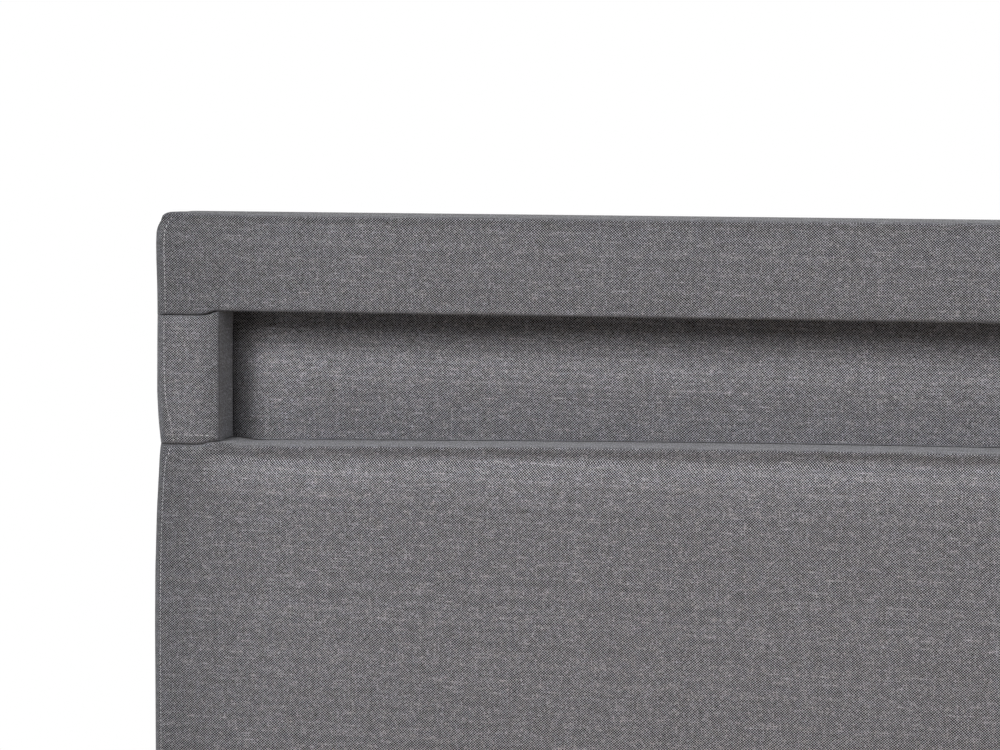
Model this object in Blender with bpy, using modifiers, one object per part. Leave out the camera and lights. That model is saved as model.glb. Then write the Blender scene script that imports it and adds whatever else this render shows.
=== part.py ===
# Upholstered storage bed with a gas-lift slatted frame.
#
# Metres, +Z up. The origin is on the floor, at the centre of the bed's outer box.
# +Y points to the headboard, -Y to the foot rail and +X to the right side rail.
# The niche in the headboard faces -Y, over the mattress.
import math

import bmesh
import bpy
from mathutils import Matrix, Vector

# Mattress that the bed is made for, and the room left round it
MATTRESS_WIDTH = 1.600
MATTRESS_LENGTH = 2.000
MATTRESS_SIDE_ROOM = 0.012
MATTRESS_END_ROOM = 0.045

# Gap between two pieces that touch, and how far a cut runs past what it cuts
SEAT = 0.0003
OVERRUN = 0.010

# Headboard
HEADBOARD_HEIGHT = 1.060
HEADBOARD_OVERHANG = 0.003
BOLSTER_HEIGHT = 0.095
NICHE_HEIGHT = 0.133
NICHE_DEPTH = 0.055
NICHE_PAD = 0.010
POST_WIDTH = 0.062
CORE_THICKNESS = 0.022
CORE_FLOOR_GAP = 0.012
LINING_THICKNESS = 0.002
LINING_INSET = 0.010
SIDE_WRAP = 0.013
TOP_WRAP = 0.013
PAD_FLOOR_GAP = 0.020
GLIDE_RADIUS = 0.0105
GLIDE_INSET = 0.150

# Padding: how far a padded face draws in at its seams, and over what width
PAD_DRAW = 0.006
PAD_ROUND = 0.028
NICHE_PAD_DRAW = 0.004
PAD_ROW_SHARES = (0.3, 0.6, 1.0)

# Side rails and foot rail
RAIL_THICKNESS = 0.045
MATTRESS_SINK = 0.050
RAIL_FLOOR_GAP = 0.030
RAIL_BOARD = 0.022
RAIL_RETURN = 0.004
RAIL_RETURN_DEPTH = 0.045
RAIL_TOP_PAD = 0.012
RAIL_END_WRAP = 0.013
LEG_TOP_RADIUS = 0.021
LEG_FOOT_RADIUS = 0.018
LEG_INSET = 0.070

# Storage floor
CLEAT_WIDTH = 0.022
CLEAT_HEIGHT = 0.025
BEAM_WIDTH = 0.040
FLOOR_THICKNESS = 0.006
FLOOR_CLEARANCE = 0.0008
FLOOR_EDGE = 0.001
BEAM_FOOT_RADIUS = 0.019
BEAM_FOOT_SPACING = 0.900

# Corner brackets
BRACKET_FLANGE = 0.045
BRACKET_THICKNESS = 0.003
BRACKET_HEIGHT = 0.120

# Slatted lifting frame
SUPPORT_HEIGHT = 0.300
TUBE_SIZE = 0.030
TUBE_WALL = 0.0015
FRAME_HEAD_ROOM = 0.018
FRAME_FOOT_ROOM = 0.020
SLAT_COUNT = 14
SLAT_WIDTH = 0.068
SLAT_THICKNESS = 0.008
SLAT_EDGE = 0.0022
SLAT_END_ROOM = 0.036
CLIP_WALL = 0.003
CLIP_COVER = 0.0025
CLIP_FLOOR = 0.0005
CLIP_BACK = 0.005
CLIP_ROOT = 0.0007

# Lift mechanism, one on each side
PLATE_THICKNESS = 0.003
PLATE_MARGIN = 0.020
PLATE_HEAD_REACH = 0.036
PLATE_TOP_REACH = 0.085
PLATE_STEP = 0.060
PLATE_CORNER = 0.012
PLATE_FLOOR_ROOM = 0.0034
ARM_THICKNESS = 0.005
ARM_HEIGHT = 0.040
ARM_TAIL = 0.120
PIVOT_SETBACK = 0.100
PIVOT_RADIUS = 0.006
PIVOT_COLLAR = 0.010
PIVOT_NUT = 0.008
RUNNING_GAP = 0.0003
LINK_REACH = 0.1607
STRUT_SIDE_ROOM = 0.003
CYLINDER_RADIUS = 0.010
CYLINDER_START = 0.018
CYLINDER_FLOOR = 0.024
CYLINDER_STANDOFF = 0.030
CYLINDER_CHAMFER = 0.002
CYLINDER_GROOVE = 0.0006
CYLINDER_GROOVE_DROP = 0.010
CYLINDER_GROOVE_WIDTH = 0.003
ROD_RADIUS = 0.005
ROD_STOP_ROOM = 0.003
EYE_RADIUS = 0.010
EYE_WIDTH = 0.010
NECK_RADIUS = 0.004
STUD_RADIUS = 0.005
STUD_HEAD_RADIUS = 0.0075
STUD_HEAD = 0.002

# Mattress stop and pull strap on the foot end of the lifting frame
STOP_WIDTH = 0.620
STOP_RISE = 0.085
STOP_RADIUS = 0.006
STOP_BEND = 0.035
STOP_SET_IN = 0.008
STRAP_WIDTH = 0.035
STRAP_THICKNESS = 0.002
STRAP_LOOP = 0.013
STRAP_RISE = 0.068

# Facets round circles
ROUND_SIDES = 24
SMALL_SIDES = 16
ARC_STEPS = 4

# Places that follow from the sizes above
INNER_HALF_WIDTH = MATTRESS_WIDTH / 2 + MATTRESS_SIDE_ROOM
RAIL_HALF_WIDTH = INNER_HALF_WIDTH + RAIL_THICKNESS
HALF_WIDTH = RAIL_HALF_WIDTH + HEADBOARD_OVERHANG
INNER_LENGTH = MATTRESS_LENGTH + MATTRESS_END_ROOM
HEADBOARD_DEPTH = NICHE_DEPTH + NICHE_PAD + CORE_THICKNESS + LINING_THICKNESS + SEAT
LENGTH = HEADBOARD_DEPTH + INNER_LENGTH + RAIL_THICKNESS
BACK_Y = LENGTH / 2
CORE_BACK_Y = BACK_Y - LINING_THICKNESS - SEAT
CORE_FRONT_Y = CORE_BACK_Y - CORE_THICKNESS
HEAD_Y = BACK_Y - HEADBOARD_DEPTH
FOOT_Y = -LENGTH / 2
FOOT_INNER_Y = FOOT_Y + RAIL_THICKNESS
BOLSTER_BOTTOM = HEADBOARD_HEIGHT - BOLSTER_HEIGHT
LEDGE_HEIGHT = BOLSTER_BOTTOM - NICHE_HEIGHT
RAIL_TOP = SUPPORT_HEIGHT + MATTRESS_SINK
BOARD_TOP = RAIL_TOP - RAIL_TOP_PAD
BOARD_IN_X = INNER_HALF_WIDTH + RAIL_RETURN + SEAT
FOOT_BOARD_IN_Y = FOOT_INNER_Y - RAIL_RETURN - SEAT
FLOOR_SEAT = RAIL_FLOOR_GAP + CLEAT_HEIGHT
PLATE_IN_X = BOARD_IN_X - SEAT - PLATE_THICKNESS
STRUT_X = PLATE_IN_X - STRUT_SIDE_ROOM - CYLINDER_RADIUS
ARM_OUT_X = STRUT_X - CYLINDER_RADIUS - STRUT_SIDE_ROOM
ARM_IN_X = ARM_OUT_X - ARM_THICKNESS
FRAME_X = ARM_IN_X - SEAT
TUBE_TOP = SUPPORT_HEIGHT - SLAT_THICKNESS - SEAT - CLIP_FLOOR
TUBE_MID = TUBE_TOP - TUBE_SIZE / 2
FRAME_HEAD_Y = HEAD_Y - FRAME_HEAD_ROOM
FRAME_FOOT_Y = FOOT_INNER_Y + FRAME_FOOT_ROOM
PIVOT_Y = FRAME_HEAD_Y - PIVOT_SETBACK
PIVOT_Z = TUBE_MID
FLOOR_TOP = FLOOR_SEAT + SEAT + FLOOR_THICKNESS
LOW_PIN_Y = PIVOT_Y - LINK_REACH
LOW_PIN_Z = FLOOR_TOP + PLATE_FLOOR_ROOM + PLATE_MARGIN
LINK_RADIUS = math.hypot(LINK_REACH, PIVOT_Z - LOW_PIN_Z)
LINK_SPREAD = math.atan2(PIVOT_Z - LOW_PIN_Z, LINK_REACH)
TOP_PIN_Y = PIVOT_Y - LINK_RADIUS
TOP_PIN_Z = PIVOT_Z
STRUT_LENGTH = 2 * LINK_RADIUS * math.sin(LINK_SPREAD / 2)
STRUT_TILT = math.atan2(TOP_PIN_Z - LOW_PIN_Z, LOW_PIN_Y - TOP_PIN_Y)

SIDES = (("left", -1), ("right", 1))
X_AXIS, Y_AXIS, Z_AXIS = range(3)


# Scene, materials and objects

def clear_scene():
    for item in list(bpy.data.objects):
        bpy.data.objects.remove(item, do_unlink=True)


def new_collection(name):
    collection = bpy.data.collections.new(name)
    bpy.context.scene.collection.children.link(collection)
    return collection


clear_scene()
PARTS = new_collection("storage_bed")
CUTTERS = new_collection("cutters")


def finish(name, color, roughness, metallic=0.0):
    material = bpy.data.materials.new(name)
    material.use_nodes = True
    material.diffuse_color = (*color, 1.0)
    shader = material.node_tree.nodes["Principled BSDF"]
    shader.inputs["Base Color"].default_value = (*color, 1.0)
    shader.inputs["Roughness"].default_value = roughness
    shader.inputs["Metallic"].default_value = metallic
    return material


GREY_WEAVE = finish("grey_weave", (0.165, 0.158, 0.165), 0.92)
BLACK_LINING = finish("black_lining", (0.020, 0.020, 0.021), 0.95)
BOARD = finish("board", (0.46, 0.33, 0.20), 0.70)
FLOOR_BOARD = finish("floor_board", (0.085, 0.080, 0.078), 0.75)
BEECH = finish("beech", (0.62, 0.45, 0.27), 0.50)
DARK_STEEL = finish("dark_steel", (0.030, 0.031, 0.033), 0.42, 0.6)
ZINC = finish("zinc", (0.55, 0.56, 0.57), 0.35, 1.0)
CHROME = finish("chrome", (0.72, 0.72, 0.73), 0.12, 1.0)
BLACK_PLASTIC = finish("black_plastic", (0.022, 0.022, 0.023), 0.55)
WEBBING = finish("webbing", (0.030, 0.030, 0.032), 0.90)


def new_object(name, mesh, material, collection=PARTS):
    item = bpy.data.objects.new(name, mesh)
    collection.objects.link(item)
    if material:
        mesh.materials.append(material)
    return item


def mesh_of(name, shape):
    mesh = bpy.data.meshes.new(name)
    shape.to_mesh(mesh)
    shape.free()
    return mesh


def sorted_corners(one, other):
    low = Vector([min(a, b) for a, b in zip(one, other)])
    high = Vector([max(a, b) for a, b in zip(one, other)])
    return low, high


def block(name, one, other, material, edge=0.0, collection=PARTS):
    """A box between two corners, with its edges broken by a bevel."""
    low, high = sorted_corners(one, other)
    shape = bmesh.new()
    bmesh.ops.create_cube(shape, size=1.0, matrix=Matrix.Diagonal((*(high - low), 1.0)))
    item = new_object(name, mesh_of(name, shape), material, collection)
    item.location = (low + high) / 2
    if edge:
        bevel = item.modifiers.new("edges", "BEVEL")
        bevel.width = edge
        bevel.segments = 1
    return item


def as_tool(item):
    item.hide_render = True
    item.display_type = "WIRE"
    return item


def box_tool(name, one, other):
    return as_tool(block(name, one, other, None, collection=CUTTERS))


def round_tool(name, radius, start, end, sides=ROUND_SIDES):
    """A cylinder between two points, for a bore or a boss."""
    return as_tool(rod(name, radius, start, end, None, sides, CUTTERS))


def rod(name, radius, start, end, material, sides=ROUND_SIDES, collection=PARTS, end_radius=None):
    run = Vector(end) - Vector(start)
    shape = bmesh.new()
    bmesh.ops.create_cone(shape, cap_ends=True, segments=sides, radius1=radius,
                          radius2=radius if end_radius is None else end_radius, depth=run.length)
    item = new_object(name, mesh_of(name, shape), material, collection)
    item.location = (Vector(start) + Vector(end)) / 2
    item.rotation_mode = "QUATERNION"
    item.rotation_quaternion = run.to_track_quat("Z", "Y")
    return item


def boolean(item, tool, operation, solver="EXACT"):
    step = item.modifiers.new(tool.name, "BOOLEAN")
    step.operation = operation
    step.object = tool
    step.solver = solver
    return item


def cut(item, tool, solver="EXACT"):
    return boolean(item, tool, "DIFFERENCE", solver)


def add(item, tool):
    return boolean(item, tool, "UNION")


# Padded pieces

def pad(name, one, other, soft, material=GREY_WEAVE, draw=PAD_DRAW, width=PAD_ROUND):
    """A padded block that fills its box. Each soft face, given as (axis, -1 or 1),
    lies flat in its middle and draws in towards the seams along its edges."""
    low, high = sorted_corners(one, other)
    centre = (low + high) / 2
    half = (high - low) / 2
    shape = bmesh.new()
    bmesh.ops.create_cube(shape, size=1.0, matrix=Matrix.Diagonal((*(high - low), 1.0)))
    for axis in (X_AXIS, Y_AXIS, Z_AXIS):
        if all(axis == face_axis for face_axis, sign in soft):
            continue
        for share in PAD_ROW_SHARES:
            place = half[axis] - min(share * width, half[axis])
            for sign in (-1, 1):
                normal = Vector([float(axis == other_axis) for other_axis in range(3)])
                bmesh.ops.bisect_plane(
                    shape, geom=shape.verts[:] + shape.edges[:] + shape.faces[:],
                    plane_co=normal * place * sign, plane_no=normal, dist=SEAT)
    moves = []
    for vert in shape.verts:
        shift = Vector((0.0, 0.0, 0.0))
        for axis, sign in soft:
            if vert.co[axis] * sign < half[axis] - SEAT:
                continue
            others = [a for a in range(3) if a != axis]
            inward = min(half[a] - abs(vert.co[a]) for a in others)
            fall = max(0.0, 1.0 - inward / width)
            shift[axis] -= sign * draw * fall ** 2
        moves.append(shift)
    for vert, shift in zip(shape.verts, moves):
        vert.co += shift
    bmesh.ops.triangulate(shape, faces=shape.faces)
    item = new_object(name, mesh_of(name, shape), material)
    item.location = centre
    item.data.shade_smooth()
    item.data.set_sharp_from_angle(angle=math.radians(40.0))
    return item


# Headboard

def headboard_core():
    side = HALF_WIDTH - SIDE_WRAP - SEAT
    block("headboard_core", (-side, CORE_FRONT_Y, CORE_FLOOR_GAP),
          (side, CORE_BACK_Y, HEADBOARD_HEIGHT - TOP_WRAP - SEAT), BOARD)
    core_pocket = box_tool("core_pocket",
                           (-HALF_WIDTH + SIDE_WRAP, CORE_FRONT_Y - SEAT, -OVERRUN),
                           (HALF_WIDTH - SIDE_WRAP, BACK_Y + OVERRUN, HEADBOARD_HEIGHT - TOP_WRAP))
    lining = HALF_WIDTH - LINING_INSET
    block("headboard_back_lining", (-lining, CORE_BACK_Y + SEAT, PAD_FLOOR_GAP),
          (lining, BACK_Y, HEADBOARD_HEIGHT - LINING_INSET), BLACK_LINING)
    return core_pocket


def headboard_pads(core_pocket):
    front, left, right, top = (Y_AXIS, -1), (X_AXIS, -1), (X_AXIS, 1), (Z_AXIS, 1)
    bolster = pad("headboard_top_bolster", (-HALF_WIDTH, HEAD_Y, BOLSTER_BOTTOM),
                  (HALF_WIDTH, CORE_BACK_Y, HEADBOARD_HEIGHT), (front, left, right, top))
    cut(bolster, core_pocket)
    lower = pad("headboard_lower_pad", (-HALF_WIDTH, HEAD_Y, PAD_FLOOR_GAP),
                (HALF_WIDTH, CORE_BACK_Y, LEDGE_HEIGHT - SEAT), (front, left, right))
    cut(lower, core_pocket)
    for side, sign in SIDES:
        post = pad("headboard_post_pad_" + side,
                   (sign * HALF_WIDTH, HEAD_Y, LEDGE_HEIGHT),
                   (sign * (HALF_WIDTH - POST_WIDTH), CORE_BACK_Y, BOLSTER_BOTTOM - SEAT),
                   (front, (X_AXIS, sign)))
        cut(post, core_pocket)
    niche_half = HALF_WIDTH - POST_WIDTH - SEAT
    pad("headboard_niche_panel", (-niche_half, CORE_FRONT_Y - NICHE_PAD, LEDGE_HEIGHT),
        (niche_half, CORE_FRONT_Y - SEAT, BOLSTER_BOTTOM - SEAT), (front,), draw=NICHE_PAD_DRAW)


def headboard_glides():
    for side, sign in SIDES:
        place = Vector((sign * (HALF_WIDTH - GLIDE_INSET), (CORE_FRONT_Y + CORE_BACK_Y) / 2, 0.0))
        top = place + Vector((0.0, 0.0, CORE_FLOOR_GAP - SEAT))
        rod("headboard_glide_" + side, GLIDE_RADIUS, place, top, BLACK_PLASTIC, SMALL_SIDES)


# Side rails and foot rail

def side_rails():
    head_end = HEAD_Y - SEAT
    foot_end = FOOT_INNER_Y + SEAT
    for side, sign in SIDES:
        board_out = BOARD_IN_X + RAIL_BOARD
        block("side_rail_board_" + side, (sign * BOARD_IN_X, foot_end, RAIL_FLOOR_GAP),
              (sign * board_out, head_end, BOARD_TOP - SEAT), BOARD)
        cover = pad("side_rail_cover_" + side,
                    (sign * INNER_HALF_WIDTH, foot_end, RAIL_FLOOR_GAP),
                    (sign * RAIL_HALF_WIDTH, head_end, RAIL_TOP), ((X_AXIS, sign), (Z_AXIS, 1)))
        slot = box_tool("board_slot_" + side,
                        (sign * (BOARD_IN_X - SEAT), foot_end - OVERRUN, -OVERRUN),
                        (sign * (board_out + SEAT), head_end + OVERRUN, BOARD_TOP))
        inside = box_tool("open_inside_" + side,
                          (sign * (INNER_HALF_WIDTH - OVERRUN), foot_end - OVERRUN, -OVERRUN),
                          (sign * BOARD_IN_X, head_end + OVERRUN, RAIL_TOP - RAIL_RETURN_DEPTH))
        cut(cover, slot)
        cut(cover, inside)


def foot_rail():
    board_out = FOOT_BOARD_IN_Y - RAIL_BOARD
    board_side = RAIL_HALF_WIDTH - RAIL_END_WRAP - SEAT
    block("foot_rail_board", (-board_side, board_out, RAIL_FLOOR_GAP),
          (board_side, FOOT_BOARD_IN_Y, BOARD_TOP - SEAT), BOARD)
    cover = pad("foot_rail_cover", (-RAIL_HALF_WIDTH, FOOT_Y, RAIL_FLOOR_GAP),
                (RAIL_HALF_WIDTH, FOOT_INNER_Y, RAIL_TOP),
                ((Y_AXIS, -1), (X_AXIS, -1), (X_AXIS, 1), (Z_AXIS, 1)))
    slot = box_tool("foot_board_slot", (-board_side - SEAT, board_out - SEAT, -OVERRUN),
                    (board_side + SEAT, FOOT_BOARD_IN_Y + SEAT, BOARD_TOP))
    inside = box_tool("foot_open_inside", (-BOARD_IN_X, FOOT_BOARD_IN_Y, -OVERRUN),
                      (BOARD_IN_X, FOOT_INNER_Y + OVERRUN, RAIL_TOP - RAIL_RETURN_DEPTH))
    cut(cover, slot)
    cut(cover, inside)
    for side, sign in SIDES:
        foot = Vector((sign * (RAIL_HALF_WIDTH - LEG_INSET), (board_out + FOOT_BOARD_IN_Y) / 2, 0.0))
        top = foot + Vector((0.0, 0.0, RAIL_FLOOR_GAP - SEAT))
        rod("corner_leg_" + side, LEG_FOOT_RADIUS, foot, top, BLACK_PLASTIC,
            end_radius=LEG_TOP_RADIUS)


def corner_brackets():
    """Steel angles that bolt the side rails to the headboard and to the foot rail.
    The two at the foot have a ledge on top, on which the closed frame rests."""
    top = TUBE_TOP - TUBE_SIZE - SEAT
    low = top - BRACKET_HEIGHT
    ends = (("head", HEAD_Y - SEAT, -1, top + OVERRUN),
            ("foot", FOOT_BOARD_IN_Y + SEAT, 1, top - BRACKET_THICKNESS))
    for end, corner_y, inward, cut_top in ends:
        for side, sign in SIDES:
            corner_x = BOARD_IN_X - SEAT
            name = "corner_bracket_" + end + "_" + side
            angle = block(name, (sign * corner_x, corner_y, low),
                          (sign * (corner_x - BRACKET_FLANGE), corner_y + inward * BRACKET_FLANGE,
                           top), ZINC)
            cut(angle, box_tool(name + "_inside",
                                (sign * (corner_x - BRACKET_THICKNESS),
                                 corner_y + inward * BRACKET_THICKNESS, low - OVERRUN),
                                (sign * (corner_x - BRACKET_FLANGE - OVERRUN),
                                 corner_y + inward * (BRACKET_FLANGE + OVERRUN), cut_top)))


# Storage floor

def storage_floor():
    foot_end = FOOT_BOARD_IN_Y + SEAT
    head_end = HEAD_Y - SEAT
    for side, sign in SIDES:
        block("side_cleat_" + side, (sign * (BOARD_IN_X - SEAT), foot_end, RAIL_FLOOR_GAP),
              (sign * (BOARD_IN_X - SEAT - CLEAT_WIDTH), head_end, FLOOR_SEAT), BEECH)
    block("floor_beam", (-BEAM_WIDTH / 2, foot_end, RAIL_FLOOR_GAP),
          (BEAM_WIDTH / 2, head_end, FLOOR_SEAT), BEECH)
    middle = (foot_end + head_end) / 2
    for end, sign in (("foot", -1), ("head", 1)):
        place = Vector((0.0, middle + sign * BEAM_FOOT_SPACING / 2, 0.0))
        top = place + Vector((0.0, 0.0, RAIL_FLOOR_GAP - SEAT))
        rod("beam_foot_" + end, BEAM_FOOT_RADIUS, place, top, BLACK_PLASTIC, SMALL_SIDES)
    side = BOARD_IN_X - FLOOR_CLEARANCE
    joint = FLOOR_CLEARANCE / 2
    panels = (("foot", FOOT_BOARD_IN_Y + FLOOR_CLEARANCE, middle - joint),
              ("head", middle + joint, HEAD_Y - FLOOR_CLEARANCE))
    for end, start, stop in panels:
        block("storage_floor_" + end, (-side, start, FLOOR_SEAT + SEAT),
              (side, stop, FLOOR_TOP), FLOOR_BOARD, FLOOR_EDGE)


# Lifting frame

def tube(name, one, other, axis):
    """A square steel tube between two corners, open along one axis."""
    low, high = sorted_corners(one, other)
    item = block(name, low, high, DARK_STEEL)
    wall = Vector((TUBE_WALL, TUBE_WALL, TUBE_WALL))
    wall[axis] = -OVERRUN
    return cut(item, box_tool(name + "_bore", low + wall, high - wall))


def slat_places():
    """The middle of each slat along the bed, foot to head."""
    first = FRAME_FOOT_Y + TUBE_SIZE + SLAT_END_ROOM + SLAT_WIDTH / 2
    last = FRAME_HEAD_Y - TUBE_SIZE - SLAT_END_ROOM - SLAT_WIDTH / 2
    step = (last - first) / (SLAT_COUNT - 1)
    return [first + step * number for number in range(SLAT_COUNT)]


def joined_boxes(name, boxes):
    """One tool made of boxes that lie apart, for a row of equal cuts or bosses."""
    shape = bmesh.new()
    for one, other in boxes:
        low, high = sorted_corners(one, other)
        place = Matrix.Translation((low + high) / 2) @ Matrix.Diagonal((*(high - low), 1.0))
        bmesh.ops.create_cube(shape, size=1.0, matrix=place)
    return as_tool(new_object(name, mesh_of(name, shape), None, CUTTERS))


def side_tube(side, sign):
    """A side tube with the clips that hold the slats' ends moulded on top."""
    inner = FRAME_X - TUBE_SIZE
    item = tube("frame_tube_" + side, (sign * FRAME_X, FRAME_FOOT_Y, TUBE_TOP - TUBE_SIZE),
                (sign * inner, FRAME_HEAD_Y, TUBE_TOP), Y_AXIS)
    slot_half = SLAT_WIDTH / 2 + SEAT
    clip_half = slot_half + CLIP_WALL
    slot_top = SUPPORT_HEIGHT - CLIP_COVER
    clips = [((sign * FRAME_X, place - clip_half, TUBE_TOP - CLIP_ROOT),
              (sign * inner, place + clip_half, SUPPORT_HEIGHT)) for place in slat_places()]
    slots = [((sign * (FRAME_X - CLIP_BACK), place - slot_half, TUBE_TOP + CLIP_FLOOR),
              (sign * (inner - OVERRUN), place + slot_half, slot_top)) for place in slat_places()]
    add(item, joined_boxes("clips_" + side, clips))
    cut(item, joined_boxes("clip_slots_" + side, slots))
    cut(item, round_tool("tube_pivot_bore_" + side, PIVOT_RADIUS + RUNNING_GAP,
                         (sign * (FRAME_X + OVERRUN), PIVOT_Y, PIVOT_Z),
                         (sign * (inner - OVERRUN), PIVOT_Y, PIVOT_Z)))
    return item


def lifting_frame():
    """The welded tube frame and its slats, whose ends are rebated so that the clips lie flush."""
    for side, sign in SIDES:
        side_tube(side, sign)
    cross_end = FRAME_X - TUBE_SIZE - SEAT
    for end, edge, inward in (("foot", FRAME_FOOT_Y, 1), ("head", FRAME_HEAD_Y, -1)):
        tube("frame_tube_" + end, (-cross_end, edge, TUBE_TOP - TUBE_SIZE),
             (cross_end, edge + inward * TUBE_SIZE, TUBE_TOP), X_AXIS)
    tube("frame_tube_centre",
         (-TUBE_SIZE / 2, FRAME_FOOT_Y + TUBE_SIZE + SEAT, TUBE_TOP - TUBE_SIZE),
         (TUBE_SIZE / 2, FRAME_HEAD_Y - TUBE_SIZE - SEAT, TUBE_TOP), Y_AXIS)
    slat_end = FRAME_X - CLIP_BACK - SEAT
    shoulder = FRAME_X - TUBE_SIZE - SEAT
    for number, place in enumerate(slat_places(), start=1):
        name = "slat_%02d" % number
        slat = block(name, (-slat_end, place - SLAT_WIDTH / 2, SUPPORT_HEIGHT - SLAT_THICKNESS),
                     (slat_end, place + SLAT_WIDTH / 2, SUPPORT_HEIGHT), BEECH, SLAT_EDGE)
        rebates = [((sign * shoulder, place - SLAT_WIDTH, SUPPORT_HEIGHT - CLIP_COVER - SEAT),
                    (sign * (slat_end + OVERRUN), place + SLAT_WIDTH, SUPPORT_HEIGHT + OVERRUN))
                   for side, sign in SIDES]
        cut(slat, joined_boxes(name + "_rebates", rebates))


# Lift mechanism

def arc(centre, radius, start, end, steps=ARC_STEPS):
    """Points along an arc, from one angle to another."""
    angles = [start + (end - start) * number / steps for number in range(steps + 1)]
    return [(centre[0] + radius * math.cos(a), centre[1] + radius * math.sin(a)) for a in angles]


def rounded(corners, radius):
    """A closed outline with each convex corner rounded."""
    points = []
    count = len(corners)
    for number, corner in enumerate(corners):
        here = Vector(corner)
        back = (Vector(corners[number - 1]) - here).normalized()
        ahead = (Vector(corners[(number + 1) % count]) - here).normalized()
        half_turn = back.angle(ahead) / 2
        reach = radius / math.tan(half_turn)
        centre = here + (back + ahead).normalized() * (radius / math.sin(half_turn))
        first = here + back * reach - centre
        last = here + ahead * reach - centre
        turn = first.angle_signed(last)
        start = math.atan2(first.y, first.x)
        points += arc(centre, radius, start, start - turn)
    return points


def profile(name, outlines, thickness, middle_x, material):
    """A flat piece cut from sheet, with outlines in Y and Z and its thickness along X."""
    curve = bpy.data.curves.new(name, "CURVE")
    curve.dimensions = "2D"
    curve.fill_mode = "BOTH"
    curve.extrude = thickness / 2
    for outline in outlines:
        spline = curve.splines.new("POLY")
        spline.points.add(len(outline) - 1)
        for point, (y, z) in zip(spline.points, outline):
            point.co = (y, z, 0.0, 1.0)
        spline.use_cyclic_u = True
    sketch = bpy.data.objects.new(name + "_sketch", curve)
    CUTTERS.objects.link(sketch)
    sketch.rotation_euler = (math.pi / 2, 0.0, math.pi / 2)
    sketch.location = (middle_x, 0.0, 0.0)
    bpy.context.view_layer.update()
    mesh = bpy.data.meshes.new_from_object(sketch.evaluated_get(bpy.context.evaluated_depsgraph_get()))
    shape = bmesh.new()
    shape.from_mesh(mesh)
    bmesh.ops.remove_doubles(shape, verts=shape.verts, dist=0.1 * SEAT)
    bmesh.ops.recalc_face_normals(shape, faces=shape.faces)
    shape.to_mesh(mesh)
    shape.free()
    item = new_object(name, mesh, material)
    item.matrix_world = sketch.matrix_world
    bpy.data.objects.remove(sketch, do_unlink=True)
    return item


def stud(name, sign, base_x, y, z):
    """The pin of a strut's eye, standing on a plate, with a retaining head."""
    outward = 1 if STRUT_X > base_x else -1
    head_x = STRUT_X + outward * (EYE_WIDTH / 2 + SEAT)
    root_x = base_x - outward * CLIP_ROOT
    pin = round_tool(name, STUD_RADIUS, (sign * root_x, y, z),
                     (sign * (head_x + outward * STUD_HEAD / 2), y, z), SMALL_SIDES)
    head = round_tool(name + "_head", STUD_HEAD_RADIUS, (sign * head_x, y, z),
                      (sign * (head_x + outward * STUD_HEAD), y, z), SMALL_SIDES)
    return pin, head


def lift_plate(side, sign):
    top = PIVOT_Z + PLATE_MARGIN
    bottom = LOW_PIN_Z - PLATE_MARGIN
    head = PIVOT_Y + PLATE_HEAD_REACH
    foot = LOW_PIN_Y - PLATE_MARGIN
    corners = ((head, top), (PIVOT_Y - PLATE_TOP_REACH, top), (foot, LOW_PIN_Z + PLATE_MARGIN),
               (foot, bottom), (LOW_PIN_Y + PLATE_STEP, bottom), (head, PIVOT_Z - PLATE_STEP))
    item = profile("lift_plate_" + side, [rounded(corners, PLATE_CORNER)], PLATE_THICKNESS,
                   sign * (PLATE_IN_X + PLATE_THICKNESS / 2), ZINC)
    cut(item, round_tool("plate_pivot_bore_" + side, PIVOT_RADIUS + RUNNING_GAP,
                         (sign * (PLATE_IN_X - OVERRUN), PIVOT_Y, PIVOT_Z),
                         (sign * (PLATE_IN_X + OVERRUN), PIVOT_Y, PIVOT_Z)))
    for tool in stud("low_pin_" + side, sign, PLATE_IN_X, LOW_PIN_Y, LOW_PIN_Z):
        add(item, tool)
    return item


def lift_arm(side, sign):
    """A flat steel bar on the side tube, from the pivot to past the strut's upper pin."""
    half = ARM_HEIGHT / 2
    outline = arc((PIVOT_Y, PIVOT_Z), half, -math.pi / 2, math.pi / 2, 2 * ARC_STEPS)
    outline += arc((TOP_PIN_Y - ARM_TAIL, PIVOT_Z), half, math.pi / 2, 1.5 * math.pi, 2 * ARC_STEPS)
    item = profile("lift_arm_" + side, [outline], ARM_THICKNESS,
                   sign * (ARM_IN_X + ARM_THICKNESS / 2), DARK_STEEL)
    cut(item, round_tool("arm_pivot_bore_" + side, PIVOT_RADIUS + RUNNING_GAP,
                         (sign * (ARM_IN_X - OVERRUN), PIVOT_Y, PIVOT_Z),
                         (sign * (ARM_OUT_X + OVERRUN), PIVOT_Y, PIVOT_Z)))
    for tool in stud("top_pin_" + side, sign, ARM_OUT_X, TOP_PIN_Y, TOP_PIN_Z):
        add(item, tool)
    return item


def turned(name, points, material, sides=ROUND_SIDES):
    """A turned piece from a profile of (radius, height) points about its own Z axis."""
    mesh = bpy.data.meshes.new(name)
    edges = [(number, number + 1) for number in range(len(points) - 1)]
    mesh.from_pydata([(radius, 0.0, height) for radius, height in points], edges, [])
    item = new_object(name, mesh, material)
    lathe = item.modifiers.new("turn", "SCREW")
    lathe.axis = "Z"
    lathe.steps = sides
    lathe.render_steps = sides
    lathe.use_merge_vertices = True
    lathe.merge_threshold = 0.1 * SEAT
    lathe.use_smooth_shade = False
    return item


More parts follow.
